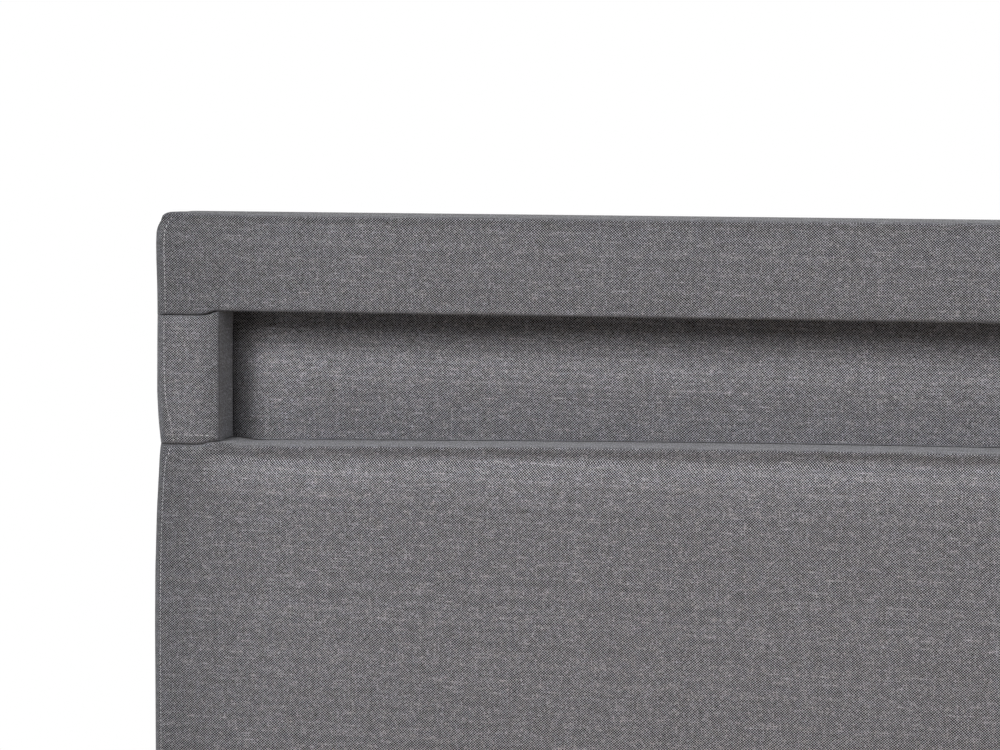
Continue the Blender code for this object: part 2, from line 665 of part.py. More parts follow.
def pivot_bolt(side, sign):
    """The hinge pin: held in the plate, with a collar up to the arm and a nut inside."""
    plate = PLATE_THICKNESS
    collar_start = plate + RUNNING_GAP
    collar_end = PLATE_THICKNESS + PLATE_IN_X - ARM_OUT_X - RUNNING_GAP
    nut_start = PLATE_THICKNESS + PLATE_IN_X - FRAME_X + TUBE_SIZE + RUNNING_GAP
    nut_end = nut_start + PIVOT_NUT
    points = ((0.0, nut_end), (PIVOT_COLLAR, nut_end), (PIVOT_COLLAR, nut_start),
              (PIVOT_RADIUS, nut_start), (PIVOT_RADIUS, collar_end), (PIVOT_COLLAR, collar_end),
              (PIVOT_COLLAR, collar_start), (PIVOT_RADIUS, collar_start), (PIVOT_RADIUS, 0.0),
              (0.0, 0.0))
    item = turned("pivot_bolt_" + side, points, ZINC)
    item.location = (sign * (PLATE_IN_X + PLATE_THICKNESS), PIVOT_Y, PIVOT_Z)
    item.rotation_euler = (0.0, -sign * math.pi / 2, 0.0)
    return item


def strut_end(item, name, towards):
    """The flat eye and its neck at one end of a strut, drawn about the strut's own origin."""
    half = Vector((EYE_WIDTH / 2, 0.0, 0.0))
    past = Vector((EYE_WIDTH / 2 + OVERRUN, 0.0, 0.0))
    eye = round_tool(name + "_eye", EYE_RADIUS, -half, half, SMALL_SIDES)
    neck = round_tool(name + "_neck", NECK_RADIUS, (0.0, 0.0, 0.0),
                      (0.0, 0.0, towards * (CYLINDER_START + CYLINDER_CHAMFER)), SMALL_SIDES)
    bore = round_tool(name + "_bore", STUD_RADIUS + RUNNING_GAP, -past, past, SMALL_SIDES)
    for tool in (eye, neck, bore):
        tool.parent = item
    add(item, neck)
    add(item, eye)
    cut(item, bore)


def gas_strut(side, sign):
    """A gas strut: the cylinder turns on the plate's pin, its rod on the arm's pin."""
    mouth = STRUT_LENGTH - CYLINDER_STANDOFF
    bore = ROD_RADIUS + RUNNING_GAP
    groove_top = mouth - CYLINDER_GROOVE_DROP
    groove_bottom = groove_top - CYLINDER_GROOVE_WIDTH
    waist = CYLINDER_RADIUS - CYLINDER_GROOVE
    shoulder = CYLINDER_RADIUS - CYLINDER_CHAMFER
    barrel = turned("gas_cylinder_" + side,
                    ((0.0, CYLINDER_FLOOR), (bore, CYLINDER_FLOOR), (bore, mouth), (shoulder, mouth),
                     (CYLINDER_RADIUS, mouth - CYLINDER_CHAMFER), (CYLINDER_RADIUS, groove_top),
                     (waist, groove_top - CYLINDER_GROOVE), (waist, groove_bottom),
                     (CYLINDER_RADIUS, groove_bottom - CYLINDER_GROOVE),
                     (CYLINDER_RADIUS, CYLINDER_START + CYLINDER_CHAMFER),
                     (shoulder, CYLINDER_START), (0.0, CYLINDER_START)), DARK_STEEL)
    strut_end(barrel, "cylinder_end_" + side, 1)
    reach = STRUT_LENGTH - CYLINDER_FLOOR - ROD_STOP_ROOM
    piston_rod = turned("gas_rod_" + side,
                        ((0.0, -CYLINDER_START), (ROD_RADIUS, -CYLINDER_START),
                         (ROD_RADIUS, -reach), (0.0, -reach)), CHROME)
    strut_end(piston_rod, "rod_end_" + side, -1)
    tilt = math.pi / 2 - STRUT_TILT
    for item, y, z in ((barrel, LOW_PIN_Y, LOW_PIN_Z), (piston_rod, TOP_PIN_Y, TOP_PIN_Z)):
        item.location = (sign * STRUT_X, y, z)
        item.rotation_euler = (tilt, 0.0, 0.0)


# Mattress stop and pull strap

def mattress_stop():
    """A bent steel bar that keeps the mattress from sliding off the raised frame."""
    y = FRAME_FOOT_Y + STOP_SET_IN
    half = STOP_WIDTH / 2
    low = TUBE_TOP + SEAT
    top = TUBE_TOP + STOP_RISE
    path = [(-half, low)]
    path += arc((-half + STOP_BEND, top - STOP_BEND), STOP_BEND, math.pi, math.pi / 2)
    path += arc((half - STOP_BEND, top - STOP_BEND), STOP_BEND, math.pi / 2, 0.0)
    path += [(half, low)]
    curve = bpy.data.curves.new("mattress_stop", "CURVE")
    curve.dimensions = "3D"
    curve.bevel_depth = STOP_RADIUS
    curve.bevel_resolution = 2
    curve.use_fill_caps = True
    curve.materials.append(DARK_STEEL)
    spline = curve.splines.new("POLY")
    spline.points.add(len(path) - 1)
    for point, (x, z) in zip(spline.points, path):
        point.co = (x, 0.0, z, 1.0)
    item = bpy.data.objects.new("mattress_stop", curve)
    PARTS.objects.link(item)
    item.location = (0.0, y, 0.0)


def pull_strap():
    """A loop of webbing sewn round on itself, fixed to the foot tube's outer face."""
    near = FRAME_FOOT_Y - SEAT
    far = near - STRAP_LOOP
    low = TUBE_TOP - TUBE_SIZE
    high = TUBE_TOP + STRAP_RISE
    outer_turn = STRAP_LOOP / 2 - SEAT
    inner_turn = outer_turn - STRAP_THICKNESS
    wall = STRAP_THICKNESS
    outer = rounded(((near, high), (far, high), (far, low), (near, low)), outer_turn)
    inner = rounded(((near - wall, high - wall), (far + wall, high - wall), (far + wall, low + wall),
                     (near - wall, low + wall)), inner_turn)
    profile("pull_strap", [outer, inner], STRAP_WIDTH, 0.0, WEBBING)


def build():
    core_pocket = headboard_core()
    headboard_pads(core_pocket)
    headboard_glides()
    side_rails()
    foot_rail()
    corner_brackets()
    storage_floor()
    lifting_frame()
    for side, sign in SIDES:
        lift_plate(side, sign)
        lift_arm(side, sign)
        pivot_bolt(side, sign)
        gas_strut(side, sign)
    mattress_stop()
    pull_strap()


build()
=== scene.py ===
# Looks of an upholstered storage bed: woven covers, slats, steel, fittings and the stage.
import math

import bmesh
import bpy
import numpy as np
from bpy.props import FloatProperty, FloatVectorProperty, IntProperty, PointerProperty
from mathutils import Matrix, Vector


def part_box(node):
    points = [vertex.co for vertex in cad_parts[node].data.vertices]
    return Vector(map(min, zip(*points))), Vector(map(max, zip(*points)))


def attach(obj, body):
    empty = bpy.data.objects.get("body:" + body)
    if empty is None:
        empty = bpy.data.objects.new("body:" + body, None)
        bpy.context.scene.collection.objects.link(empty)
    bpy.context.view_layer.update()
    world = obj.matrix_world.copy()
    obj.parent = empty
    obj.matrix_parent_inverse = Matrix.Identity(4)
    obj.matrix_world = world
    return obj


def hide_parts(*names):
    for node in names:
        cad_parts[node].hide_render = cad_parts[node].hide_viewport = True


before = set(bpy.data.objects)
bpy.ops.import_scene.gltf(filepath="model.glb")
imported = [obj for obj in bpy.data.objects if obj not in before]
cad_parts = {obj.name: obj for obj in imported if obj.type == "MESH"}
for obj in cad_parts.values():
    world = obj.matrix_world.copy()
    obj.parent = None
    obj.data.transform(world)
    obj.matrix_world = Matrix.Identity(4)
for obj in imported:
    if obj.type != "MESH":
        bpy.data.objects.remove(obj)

bl_info = {
    "name": "Storage Bed Covers and Fittings",
    "version": (1, 0, 0),
    "blender": (4, 5, 0),
    "location": "3D View > Sidebar > Storage Bed",
    "description": "Dresses a storage bed frame with woven covers, wood, steel and fittings",
    "category": "Object",
}


def corners(node):
    """The lowest and highest corner of a frame node."""
    low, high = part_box(node)
    return Vector(low), Vector(high)


SIDES = (("left", -1), ("right", 1))
BOLSTER_LOW, BOLSTER_HIGH = corners("headboard_top_bolster")
LOWER_LOW, LOWER_HIGH = corners("headboard_lower_pad")
CORE_LOW, CORE_HIGH = corners("headboard_core")
NICHE_LOW, NICHE_HIGH = corners("headboard_niche_panel")
CROSS_LOW, CROSS_HIGH = corners("frame_tube_foot")
HEAD_FRONT = LOWER_LOW.y

# How near counts as touching, and the room between a cover and its board
CLEAR = 0.0003

# The ledge under the niche rises toward the middle of the bed and has an ear beside each post,
# and the seam under the bolster lies lower over the posts
LEDGE_RISE = 0.009
LEDGE_EAR = 0.0036
POST_SEAM_DROP = 0.0045


# Sizes and colours that a user would change

class StorageBedSizes(bpy.types.PropertyGroup):
    warp_pitch: FloatProperty(
        name="Warp Pitch", description="Distance between the upright threads of the cover",
        default=0.001384, min=0.0003, unit="LENGTH", precision=5)
    weft_pitch: FloatProperty(
        name="Weft Pitch", description="Distance between the level threads of the cover",
        default=0.001257, min=0.0003, unit="LENGTH", precision=5)
    pucker: FloatProperty(
        name="Pucker", description="How uneven the cover is along its seams, as a share",
        default=0.45, min=0.0, max=1.0)
    bolt_radius: FloatProperty(
        name="Bolt Head Radius", description="Radius of the bolt heads",
        default=0.0075, min=0.002, unit="LENGTH", precision=4)
    bolt_height: FloatProperty(
        name="Bolt Head Height", description="Height of the bolt heads",
        default=0.0032, min=0.001, max=0.005, unit="LENGTH", precision=4)
    staple_step: FloatProperty(
        name="Staple Step", description="Distance between the staples of a cover",
        default=0.052, min=0.02, unit="LENGTH", precision=4)
    cloth_frames: IntProperty(
        name="Cloth Frames", description="Frames for which each cover is simulated",
        default=20, min=2, max=60)


class StorageBedColours(bpy.types.PropertyGroup):
    thread_light: FloatVectorProperty(
        name="Light Thread", description="Colour of the light threads of the cover",
        subtype="COLOR", size=3, default=(0.517, 0.519, 0.559), min=0.0, max=1.0)
    thread_dark: FloatVectorProperty(
        name="Dark Thread", description="Colour of the dark threads of the cover",
        subtype="COLOR", size=3, default=(0.012, 0.0115, 0.0125), min=0.0, max=1.0)
    lining: FloatVectorProperty(
        name="Lining", description="Colour of the dust cloth on the back",
        subtype="COLOR", size=3, default=(0.020, 0.020, 0.021), min=0.0, max=1.0)
    beech: FloatVectorProperty(
        name="Beech", description="Colour of the slats and cleats",
        subtype="COLOR", size=3, default=(0.620, 0.450, 0.270), min=0.0, max=1.0)
    board: FloatVectorProperty(
        name="Board", description="Colour of the particle board under the covers",
        subtype="COLOR", size=3, default=(0.460, 0.330, 0.200), min=0.0, max=1.0)
    floor_board: FloatVectorProperty(
        name="Floor Board", description="Colour of the faced hardboard of the storage floor",
        subtype="COLOR", size=3, default=(0.085, 0.080, 0.078), min=0.0, max=1.0)
    steel: FloatVectorProperty(
        name="Powder Coat", description="Colour of the coated steel tubes and arms",
        subtype="COLOR", size=3, default=(0.030, 0.031, 0.033), min=0.0, max=1.0)


def sizes():
    return bpy.context.scene.storage_bed_sizes


def colours():
    return bpy.context.scene.storage_bed_colours


# Node trees

def feed(tree, item, inputs):
    """Feeds the sockets of a node with values or with other sockets."""
    for key, value in inputs.items():
        if isinstance(value, bpy.types.NodeSocket):
            tree.links.new(value, item.inputs[key])
        else:
            item.inputs[key].default_value = value


def place_node(tree, kind, inputs=None, **settings):
    """Adds a node, sets it up and feeds its sockets."""
    item = tree.nodes.new("ShaderNode" + kind)
    for key, value in settings.items():
        setattr(item, key, value)
    feed(tree, item, inputs or {})
    return item


def maths(tree, operation, *values):
    """A Math node on one to three values or sockets."""
    return place_node(tree, "Math", dict(enumerate(values)), operation=operation).outputs[0]


def remap(tree, value, low, high, to_low=0.0, to_high=1.0, smooth=False):
    """Spreads what lies between low and high over another range."""
    inputs = {"Value": value, "From Min": low, "From Max": high, "To Min": to_low, "To Max": to_high}
    kind = "SMOOTHSTEP" if smooth else "LINEAR"
    return place_node(tree, "MapRange", inputs, interpolation_type=kind).outputs["Result"]


def blend_colours(tree, factor, one, other, mode="MIX"):
    """Mixes two colours, each a socket or three numbers."""
    inputs = {0: factor}
    for number, value in ((6, one), (7, other)):
        given = isinstance(value, bpy.types.NodeSocket)
        inputs[number] = value if given else (*value[:3], 1.0)
    return place_node(tree, "Mix", inputs, data_type="RGBA", blend_type=mode).outputs[2]


def noise(tree, place, scale, detail, flat=False, **more):
    """The outputs of a noise texture; more holds further sockets by their names."""
    inputs = {"Vector": place, "Scale": scale, "Detail": detail, **more}
    return place_node(tree, "TexNoise", inputs, noise_dimensions="2D" if flat else "3D").outputs


def start_group(name, inputs, outputs):
    """A node group that takes a place and the named numbers; returns its tree, its inputs and
    its output node."""
    tree = bpy.data.node_groups.new(name, "ShaderNodeTree")
    tree.interface.new_socket("Vector", in_out="INPUT", socket_type="NodeSocketVector")
    for title, value in inputs.items():
        socket = tree.interface.new_socket(title, in_out="INPUT", socket_type="NodeSocketFloat")
        socket.default_value = value
    for title in outputs:
        tree.interface.new_socket(title, in_out="OUTPUT", socket_type="NodeSocketFloat")
    return tree, tree.nodes.new("NodeGroupInput").outputs, tree.nodes.new("NodeGroupOutput")


def use_group(tree, make, inputs):
    """Places a node group, named after the function that makes it; returns its outputs."""
    group = bpy.data.node_groups.get(make.__name__) or make(make.__name__)
    return place_node(tree, "Group", inputs, node_tree=group).outputs


def thread_tone(tree, given, number, along, start):
    """How light a thread is along its run: its own tone, short slubs and long drawn ones."""
    seed = maths(tree, "ADD", number, start)
    yarn = place_node(tree, "TexWhiteNoise", {"W": seed}, noise_dimensions="1D").outputs["Value"]
    row = maths(tree, "MULTIPLY", seed, 3.37)
    run = maths(tree, "MULTIPLY", along, given["Streak Rate"])
    slow_run = maths(tree, "MULTIPLY", run, 0.14)
    spots = [place_node(tree, "CombineXYZ", {0: row, 1: length}) for length in (run, slow_run)]
    short, drawn = [noise(tree, spot.outputs[0], 1.0, 1.0, True)[0] for spot in spots]
    tone = maths(tree, "MULTIPLY", maths(tree, "SUBTRACT", yarn, 0.5), given["Yarn"])
    uneven = maths(tree, "MAXIMUM", maths(tree, "SUBTRACT", short, 0.5), -0.13)
    tone = maths(tree, "MULTIPLY_ADD", uneven, given["Streak"], tone)
    tone = maths(tree, "ADD", tone, remap(tree, drawn, 0.60, 0.76, 0.0, 0.20, True))
    slub = remap(tree, short, 0.58, 0.74, smooth=True)
    return maths(tree, "MULTIPLY_ADD", slub, given["Slub"], tone)


def plain_weave(name):
    """Plain weave in metres: the tone of the thread that lies on top, with painted shade where the
    threads dip between crossings, and its height.
    """
    wander_rate, wander_reach = 24.0, 0.0022
    tree, given, result = start_group(
        name, {"Warp Pitch": 0.0014, "Weft Pitch": 0.0013, "Slub": 0.4, "Contrast": 1.0, "Salt": 0.0,
               "Streak": 0.8, "Streak Rate": 250.0, "Yarn": 0.2}, ("Tone", "Height"))
    wander = noise(tree, given["Vector"], wander_rate, 2.0, True)["Color"]
    push = place_node(tree, "VectorMath", {0: wander, 1: (-0.5, -0.5, -0.5)}, operation="ADD")
    push = place_node(tree, "VectorMath", {0: push.outputs[0], "Scale": wander_reach},
                      operation="SCALE")
    place = place_node(tree, "VectorMath", {0: given["Vector"], 1: push.outputs[0]}, operation="ADD")
    parts = place_node(tree, "SeparateXYZ", {0: place.outputs[0]}).outputs
    threads = (maths(tree, "DIVIDE", parts[0], given["Warp Pitch"]),
               maths(tree, "DIVIDE", parts[1], given["Weft Pitch"]))
    waves = [maths(tree, "COSINE", maths(tree, "MULTIPLY", thread, math.pi)) for thread in threads]
    checker = maths(tree, "MULTIPLY", *waves)
    on_top = remap(tree, checker, -0.05, 0.72, smooth=True)
    bulge = maths(tree, "POWER", maths(tree, "ABSOLUTE", checker), 0.5)
    numbers = [maths(tree, "FLOOR", maths(tree, "ADD", thread, 0.5)) for thread in threads]
    cell = place_node(tree, "CombineXYZ", dict(enumerate(numbers))).outputs[0]
    salt = place_node(tree, "TexWhiteNoise", {"Vector": cell}, noise_dimensions="2D").outputs["Value"]
    warp = thread_tone(tree, given, numbers[0], parts[1], 0.0)
    weft = thread_tone(tree, given, numbers[1], parts[0], 37.0)
    tone = place_node(tree, "Mix", {0: on_top, 2: weft, 3: warp}, data_type="FLOAT").outputs[0]
    tone = maths(tree, "ADD", tone, maths(tree, "MULTIPLY", on_top, given["Contrast"]))
    less = maths(tree, "MULTIPLY", given["Salt"], -0.5)
    tone = maths(tree, "ADD", tone, maths(tree, "MULTIPLY_ADD", salt, given["Salt"], less))
    # Painted shade: the tone is darkened where the threads dip between their crossings.
    shade = remap(tree, bulge, 0.0, 1.0, 0.62)
    feed(tree, result, {"Tone": maths(tree, "MULTIPLY", tone, shade), "Height": bulge})
    return tree


def wood_grain(name):
    """Wood grain along X: long streaks, pores and a slow change of tone."""
    tree, given, result = start_group(name, {"Streaks": 1.0}, ("Streak", "Pore", "Slow"))
    long_run, fleck_run = [place_node(tree, "Mapping", {"Vector": given["Vector"], "Scale": scale})
                           for scale in ((3.0, 95.0, 95.0), (150.0, 1600.0, 1600.0))]
    streak = noise(tree, long_run.outputs[0], 1.0, 5.0, Roughness=0.62, Distortion=0.6)[0]
    fleck = noise(tree, fleck_run.outputs[0], 1.0, 1.0)[0]
    streak = maths(tree, "MULTIPLY", remap(tree, streak, 0.30, 0.70), given["Streaks"])
    feed(tree, result, {"Streak": streak, "Pore": remap(tree, fleck, 0.60, 0.72),
                        "Slow": noise(tree, given["Vector"], 2.3, 2.0)[0]})
    return tree


def fine_speckle(name):
    """Fine even grain of a moulded, coated or pressed surface, with faint larger marks."""
    tree, given, result = start_group(name, {"Grain Size": 0.001}, ("Grain", "Mark", "Rub"))
    place, scale = given["Vector"], maths(tree, "DIVIDE", 1.0, given["Grain Size"])
    rub = noise(tree, place, 60.0, 6.0, Roughness=0.7)[0]
    feed(tree, result, {"Grain": noise(tree, place, scale, 2.0)[0],
                        "Mark": noise(tree, place, 14.0, 4.0)[0],
                        "Rub": remap(tree, rub, 0.55, 0.75)})
    return tree


# Finishes

def start_finish(name):
    finish = bpy.data.materials.new(name)
    finish.use_nodes = True
    return finish, finish.node_tree


def close_finish(finish, inputs, height, distance, strength):
    """Feeds the shader of a finish, and raises its surface by the height."""
    tree = finish.node_tree
    bump = place_node(tree, "Bump", {"Height": height, "Distance": distance, "Strength": strength})
    feed(tree, tree.nodes["Principled BSDF"], {**inputs, "Normal": bump.outputs["Normal"]})
    return finish


def object_place(tree):
    return place_node(tree, "TexCoord").outputs["Object"]


def cloth_place(tree, turn=0.0):
    """The place on a cover's own map in metres, turned by an angle."""
    own_map = place_node(tree, "UVMap", None, uv_map="weave").outputs[0]
    return place_node(tree, "Mapping", {"Vector": own_map, "Rotation": (0.0, 0.0, turn)}).outputs[0]


def tinted(colour, share, more=0.0):
    """A lighter or darker version of a colour."""
    return tuple(min(1.0, share * part + more) for part in colour)


def woven_cover():
    """Grey melange plain weave, dry, with slubs and a soft sheen at a low angle."""
    finish, tree = start_finish("grey_weave_cover")
    weave = use_group(tree, plain_weave, {
        "Vector": cloth_place(tree, 0.024), "Warp Pitch": sizes().warp_pitch,
        "Weft Pitch": sizes().weft_pitch, "Slub": 0.16, "Contrast": 1.0, "Streak": 0.75,
        "Streak Rate": 420.0, "Yarn": 0.16})
    place = object_place(tree)
    mottle = noise(tree, place, 90.0, 3.0, Roughness=0.6)[0]
    tone = maths(tree, "ADD", weave["Tone"], remap(tree, mottle, 0.3, 0.7, -0.04, 0.04))
    colour = blend_colours(tree, maths(tree, "MAXIMUM", tone, 0.0), colours().thread_dark,
                           colours().thread_light)
    tint = remap(tree, noise(tree, place, 110.0, 1.0)[0], 0.35, 0.65)
    cast = blend_colours(tree, tint, (0.999, 1.0, 1.022), (1.001, 1.0, 0.978))
    # The shade attribute holds painted shade and painted highlights, multiplied into the cover's
    # colour.
    shade = place_node(tree, "Attribute", None, attribute_name="shade").outputs["Fac"]
    grey = place_node(tree, "CombineColor", {0: shade, 1: shade, 2: shade}).outputs[0]
    for layer in (cast, grey):
        colour = blend_colours(tree, 1.0, colour, layer, "MULTIPLY")
    looks = {"Base Color": colour, "Roughness": 0.92, "Specular IOR Level": 0.12,
             "Sheen Weight": 0.12, "Sheen Roughness": 0.45}
    return close_finish(finish, looks, weave["Height"], 0.00035, 0.55)


def dust_cloth():
    """Thin black non-woven cloth with its pressed dots."""
    finish, tree = start_finish("dust_cloth")
    place = object_place(tree)
    dots = place_node(tree, "TexVoronoi", {"Vector": place, "Scale": 620.0}).outputs["Distance"]
    pressed = remap(tree, dots, 0.15, 0.45, smooth=True)
    mix = maths(tree, "MULTIPLY", pressed, noise(tree, place, 900.0, 3.0)[0])
    colour = blend_colours(tree, mix, colours().lining, tinted(colours().lining, 2.2))
    looks = {"Base Color": colour, "Roughness": remap(tree, pressed, 0.0, 1.0, 0.70, 0.95)}
    return close_finish(finish, looks, pressed, 0.0002, 0.5)


def strap_webbing():
    """Flat black webbing with ribs across its width."""
    finish, tree = start_finish("strap_webbing")
    weave = use_group(tree, plain_weave, {"Vector": cloth_place(tree), "Warp Pitch": 0.0017,
                                          "Weft Pitch": 0.0011, "Slub": 0.1, "Contrast": 0.7,
                                          "Salt": 0.3})
    colour = blend_colours(tree, weave["Tone"], (0.012, 0.012, 0.013), (0.075, 0.075, 0.080))
    return close_finish(finish, {"Base Color": colour, "Roughness": 0.8}, weave["Height"], 0.0005, 0.8)


def wood(name, colour, streaks, pores, roughness, turn=0.0):
    """Wood with its grain along X, or along Y when turned a quarter."""
    finish, tree = start_finish(name)
    turned = place_node(tree, "Mapping", {"Vector": object_place(tree), "Rotation": (0.0, 0.0, turn)})
    grain = use_group(tree, wood_grain, {"Vector": turned.outputs[0], "Streaks": streaks})
    base = blend_colours(tree, grain["Streak"], tinted(colour, 1.13), tinted(colour, 0.72))
    base = blend_colours(tree, remap(tree, grain["Slow"], 0.35, 0.65, 0.0, 0.5), base, colour)
    base = blend_colours(tree, maths(tree, "MULTIPLY", grain["Pore"], pores), base,
                         tinted(colour, 0.42))
    rough = remap(tree, grain["Streak"], 0.0, 1.0, roughness - 0.08, roughness + 0.08)
    return close_finish(finish, {"Base Color": base, "Roughness": rough}, grain["Streak"], 0.0002, 0.35)


def particle_board():
    """Pressed wood chips."""
    finish, tree = start_finish("particle_board")
    place = object_place(tree)
    chips, fine = [place_node(tree, "TexVoronoi", {"Vector": place, "Scale": scale}).outputs
                   for scale in (240.0, 720.0)]
    base = blend_colours(tree, 0.20, colours().board, chips["Color"], "OVERLAY")
    base = blend_colours(tree, 0.12, base, fine["Color"], "OVERLAY")
    dull = place_node(tree, "HueSaturation", {"Saturation": 0.75, "Value": 0.9, "Color": base})
    looks = {"Base Color": dull.outputs[0], "Roughness": 0.78}
    return close_finish(finish, looks, chips["Distance"], 0.0002, 0.4)


def speckled(name, colour, grain_size, roughness, metallic=0.0, depth=0.00008, worn=0.25):
    """A moulded, coated or plated finish with a fine grain and rubbed spots."""
    finish, tree = start_finish(name)
    speckle = use_group(tree, fine_speckle, {"Vector": object_place(tree), "Grain Size": grain_size})
    light = tinted(colour, 1.35, 0.004)
    base = blend_colours(tree, remap(tree, speckle["Mark"], 0.35, 0.65), tinted(colour, 0.80), light)
    base = blend_colours(tree, maths(tree, "MULTIPLY", speckle["Rub"], worn), base, light)
    rough = remap(tree, speckle["Mark"], 0.3, 0.7, roughness - 0.05, roughness + 0.07)
    rough = maths(tree, "SUBTRACT", rough, maths(tree, "MULTIPLY", speckle["Rub"], 0.3 * worn))
    looks = {"Base Color": base, "Roughness": rough, "Metallic": metallic}
    return close_finish(finish, looks, speckle["Grain"], depth, 0.5)


FINISHES = {}


def finish_of(kind):
    """The finish of that name, made on first use."""
    own, quarter = colours(), math.pi / 2
    makers = {
        "cover": (woven_cover,),
        "lining": (dust_cloth,),
        "webbing": (strap_webbing,),
        "board": (particle_board,),
        "slat": (wood, "beech_slat", own.beech, 0.75, 0.5, 0.42),
        "batten": (wood, "beech_batten", own.beech, 0.9, 0.6, 0.6, quarter),
        "floor": (wood, "faced_floor_board", own.floor_board, 0.5, 0.1, 0.55, quarter),
        "steel": (speckled, "black_powder_coat", own.steel, 0.0009, 0.46, 0.0, 0.00010),
        "zinc": (speckled, "zinc_plate", (0.52, 0.53, 0.55), 0.0015, 0.34, 1.0, 0.00004, 0.5),
        "chrome": (speckled, "chromed_rod", (0.66, 0.66, 0.67), 0.004, 0.12, 1.0, 0.00001, 0.1),
        "plastic": (speckled, "black_moulded_plastic", (0.020, 0.020, 0.021), 0.0007, 0.52),
        "staple": (speckled, "staple_wire", (0.45, 0.45, 0.46), 0.002, 0.4, 1.0, 0.00002),
        "thread": (speckled, "sewing_thread", (0.34, 0.335, 0.345), 0.0006, 0.8, 0.0, 0.0001),
    }
    if kind not in FINISHES:
        make, *looks = makers[kind]
        FINISHES[kind] = make(*looks)
    return FINISHES[kind]


# Modelling helpers

def deselect():
    if bpy.context.mode != "OBJECT":
        bpy.ops.object.mode_set(mode="OBJECT")
    bpy.ops.object.select_all(action="DESELECT")


def activate(piece):
    deselect()
    piece.select_set(True)
    bpy.context.view_layer.objects.active = piece


def named(name):
    piece = bpy.context.view_layer.objects.active
    piece.name = name
    piece.data.name = name
    return piece


def settle(piece):
    """Puts the piece's place, turn and scale into its mesh."""
    activate(piece)
    bpy.ops.object.transform_apply(location=True, rotation=True, scale=True)
    return piece


def start_box(name, low, high):
    low, high = Vector(low), Vector(high)
    deselect()
    bpy.ops.mesh.primitive_cube_add(size=1.0, location=(low + high) / 2)
    piece = named(name)
    piece.scale = high - low
    return settle(piece)


def open_edit(piece):
    activate(piece)
    bpy.ops.object.mode_set(mode="EDIT")
    bpy.ops.mesh.select_mode(type="FACE")
    bpy.ops.mesh.select_all(action="DESELECT")


def close_edit():
    bpy.ops.object.mode_set(mode="OBJECT")


def pick(piece, kind, test):
    """Selects the faces or edges for which the test holds."""
    bpy.ops.mesh.select_mode(type=kind)
    bpy.ops.mesh.select_all(action="DESELECT")
    shape = bmesh.from_edit_mesh(piece.data)
    for item in {"FACE": shape.faces, "EDGE": shape.edges}[kind]:
        if test(item):
            item.select_set(True)
    shape.select_flush_mode()
    bmesh.update_edit_mesh(piece.data)


def pick_faces(piece, axis, sign, test):
    """Selects the faces that look along an axis and whose middle passes the test."""
    pick(piece, "FACE",
         lambda face: face.normal[axis] * sign > 0.9 and test(face.calc_center_median()))


def along_axis(axis, distance):
    way = [0.0, 0.0, 0.0]
    way[axis] = distance
    return way


def slice_at(axis, place):
    """Cuts all of the piece that is open for editing along a plane square to an axis."""
    bpy.ops.mesh.select_all(action="SELECT")
    bpy.ops.mesh.bisect(plane_co=along_axis(axis, place), plane_no=along_axis(axis, 1.0))


def extrude(axis, distance):
    bpy.ops.mesh.extrude_region_move(TRANSFORM_OT_translate={"value": along_axis(axis, distance)})


def read_all(items, name, width=1, kind=float):
    """Reads a property of all vertices, loops or faces of a mesh."""
    values = np.empty(width * len(items), dtype=kind)
    items.foreach_get(name, values)
    return values.reshape(-1, width) if width > 1 else values


def points_of(piece):
    return read_all(piece.data.vertices, "co", 3)


def set_points(piece, points):
    piece.data.vertices.foreach_set("co", points.ravel())
    piece.data.update()


def paint(piece, kind):
    piece.data.materials.clear()
    piece.data.materials.append(finish_of(kind))


def smooth(piece, angle):
    """Shades the piece smoothly, apart from edges sharper than the angle in degrees."""
    activate(piece)
    bpy.ops.object.shade_smooth_by_angle(angle=math.radians(angle))


def twin(piece, name):
    """A mirrored copy for the other side, with its own mesh."""
    other = piece.copy()
    other.data = piece.data.copy()
    other.name = name
    other.data.name = name
    bpy.context.scene.collection.objects.link(other)
    set_points(other, points_of(other) * (-1.0, 1.0, 1.0))
    other.data.flip_normals()
    return other


def copies(piece, places, name):
    """One piece made of copies of a modelled one, each at its own place and turn."""
    made = []
    for place in places:
        copy = piece.copy()
        copy.data = piece.data.copy()
        bpy.context.scene.collection.objects.link(copy)
        copy.data.transform(place)
        made.append(copy)
    bpy.data.objects.remove(piece, do_unlink=True)
    activate(made[0])
    for copy in made:
        copy.select_set(True)
    if len(made) > 1:
        bpy.ops.object.join()
    return named(name)


def facing(place, outward):
    """A place and turn that point the Z axis of a fitting outward."""
    turn = Vector(outward).to_track_quat("Z", "Y").to_matrix().to_4x4()
    return Matrix.Translation(Vector(place)) @ turn


def lying(place, outward, along):
    """A place and turn that point the Z axis of a fitting outward and its X axis along."""
    side = outward.cross(along)
    turn = Matrix((along, side, outward)).transposed().to_4x4()
    return Matrix.Translation(place) @ turn


def fit(one, places, name, kind, body):
    """Copies a fitting to its places as one piece, finishes it and lets it ride."""
    piece = copies(one, places, name)
    smooth(piece, 35.0)
    paint(piece, kind)
    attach(piece, body)


# Curves and profiles

def eased(place, start, end):
    """Runs smoothly from 0 at the start to 1 at the end."""
    share = np.clip((place - start) / (end - start), 0.0, 1.0)
    return share * share * (3.0 - 2.0 * share)


def even(start, end, step):
    """Evenly spaced places from the start to the end, about a step apart."""
    count = max(1, round((end - start) / step))
    return [start + (end - start) * number / count for number in range(count + 1)]


def table(place, steps):
    """Reads a value off a table of (distance, value) pairs."""
    return np.interp(place, [step[0] for step in steps], [step[1] for step in steps])


def near(points, axis, place, reach):
    """1 at a face of a cover and outside it, falling to 0 over the reach; the reach is negative
    where the cover lies below the place."""
    return np.clip(1.0 - (points[:, axis] - place) / reach, 0.0, 1.0)


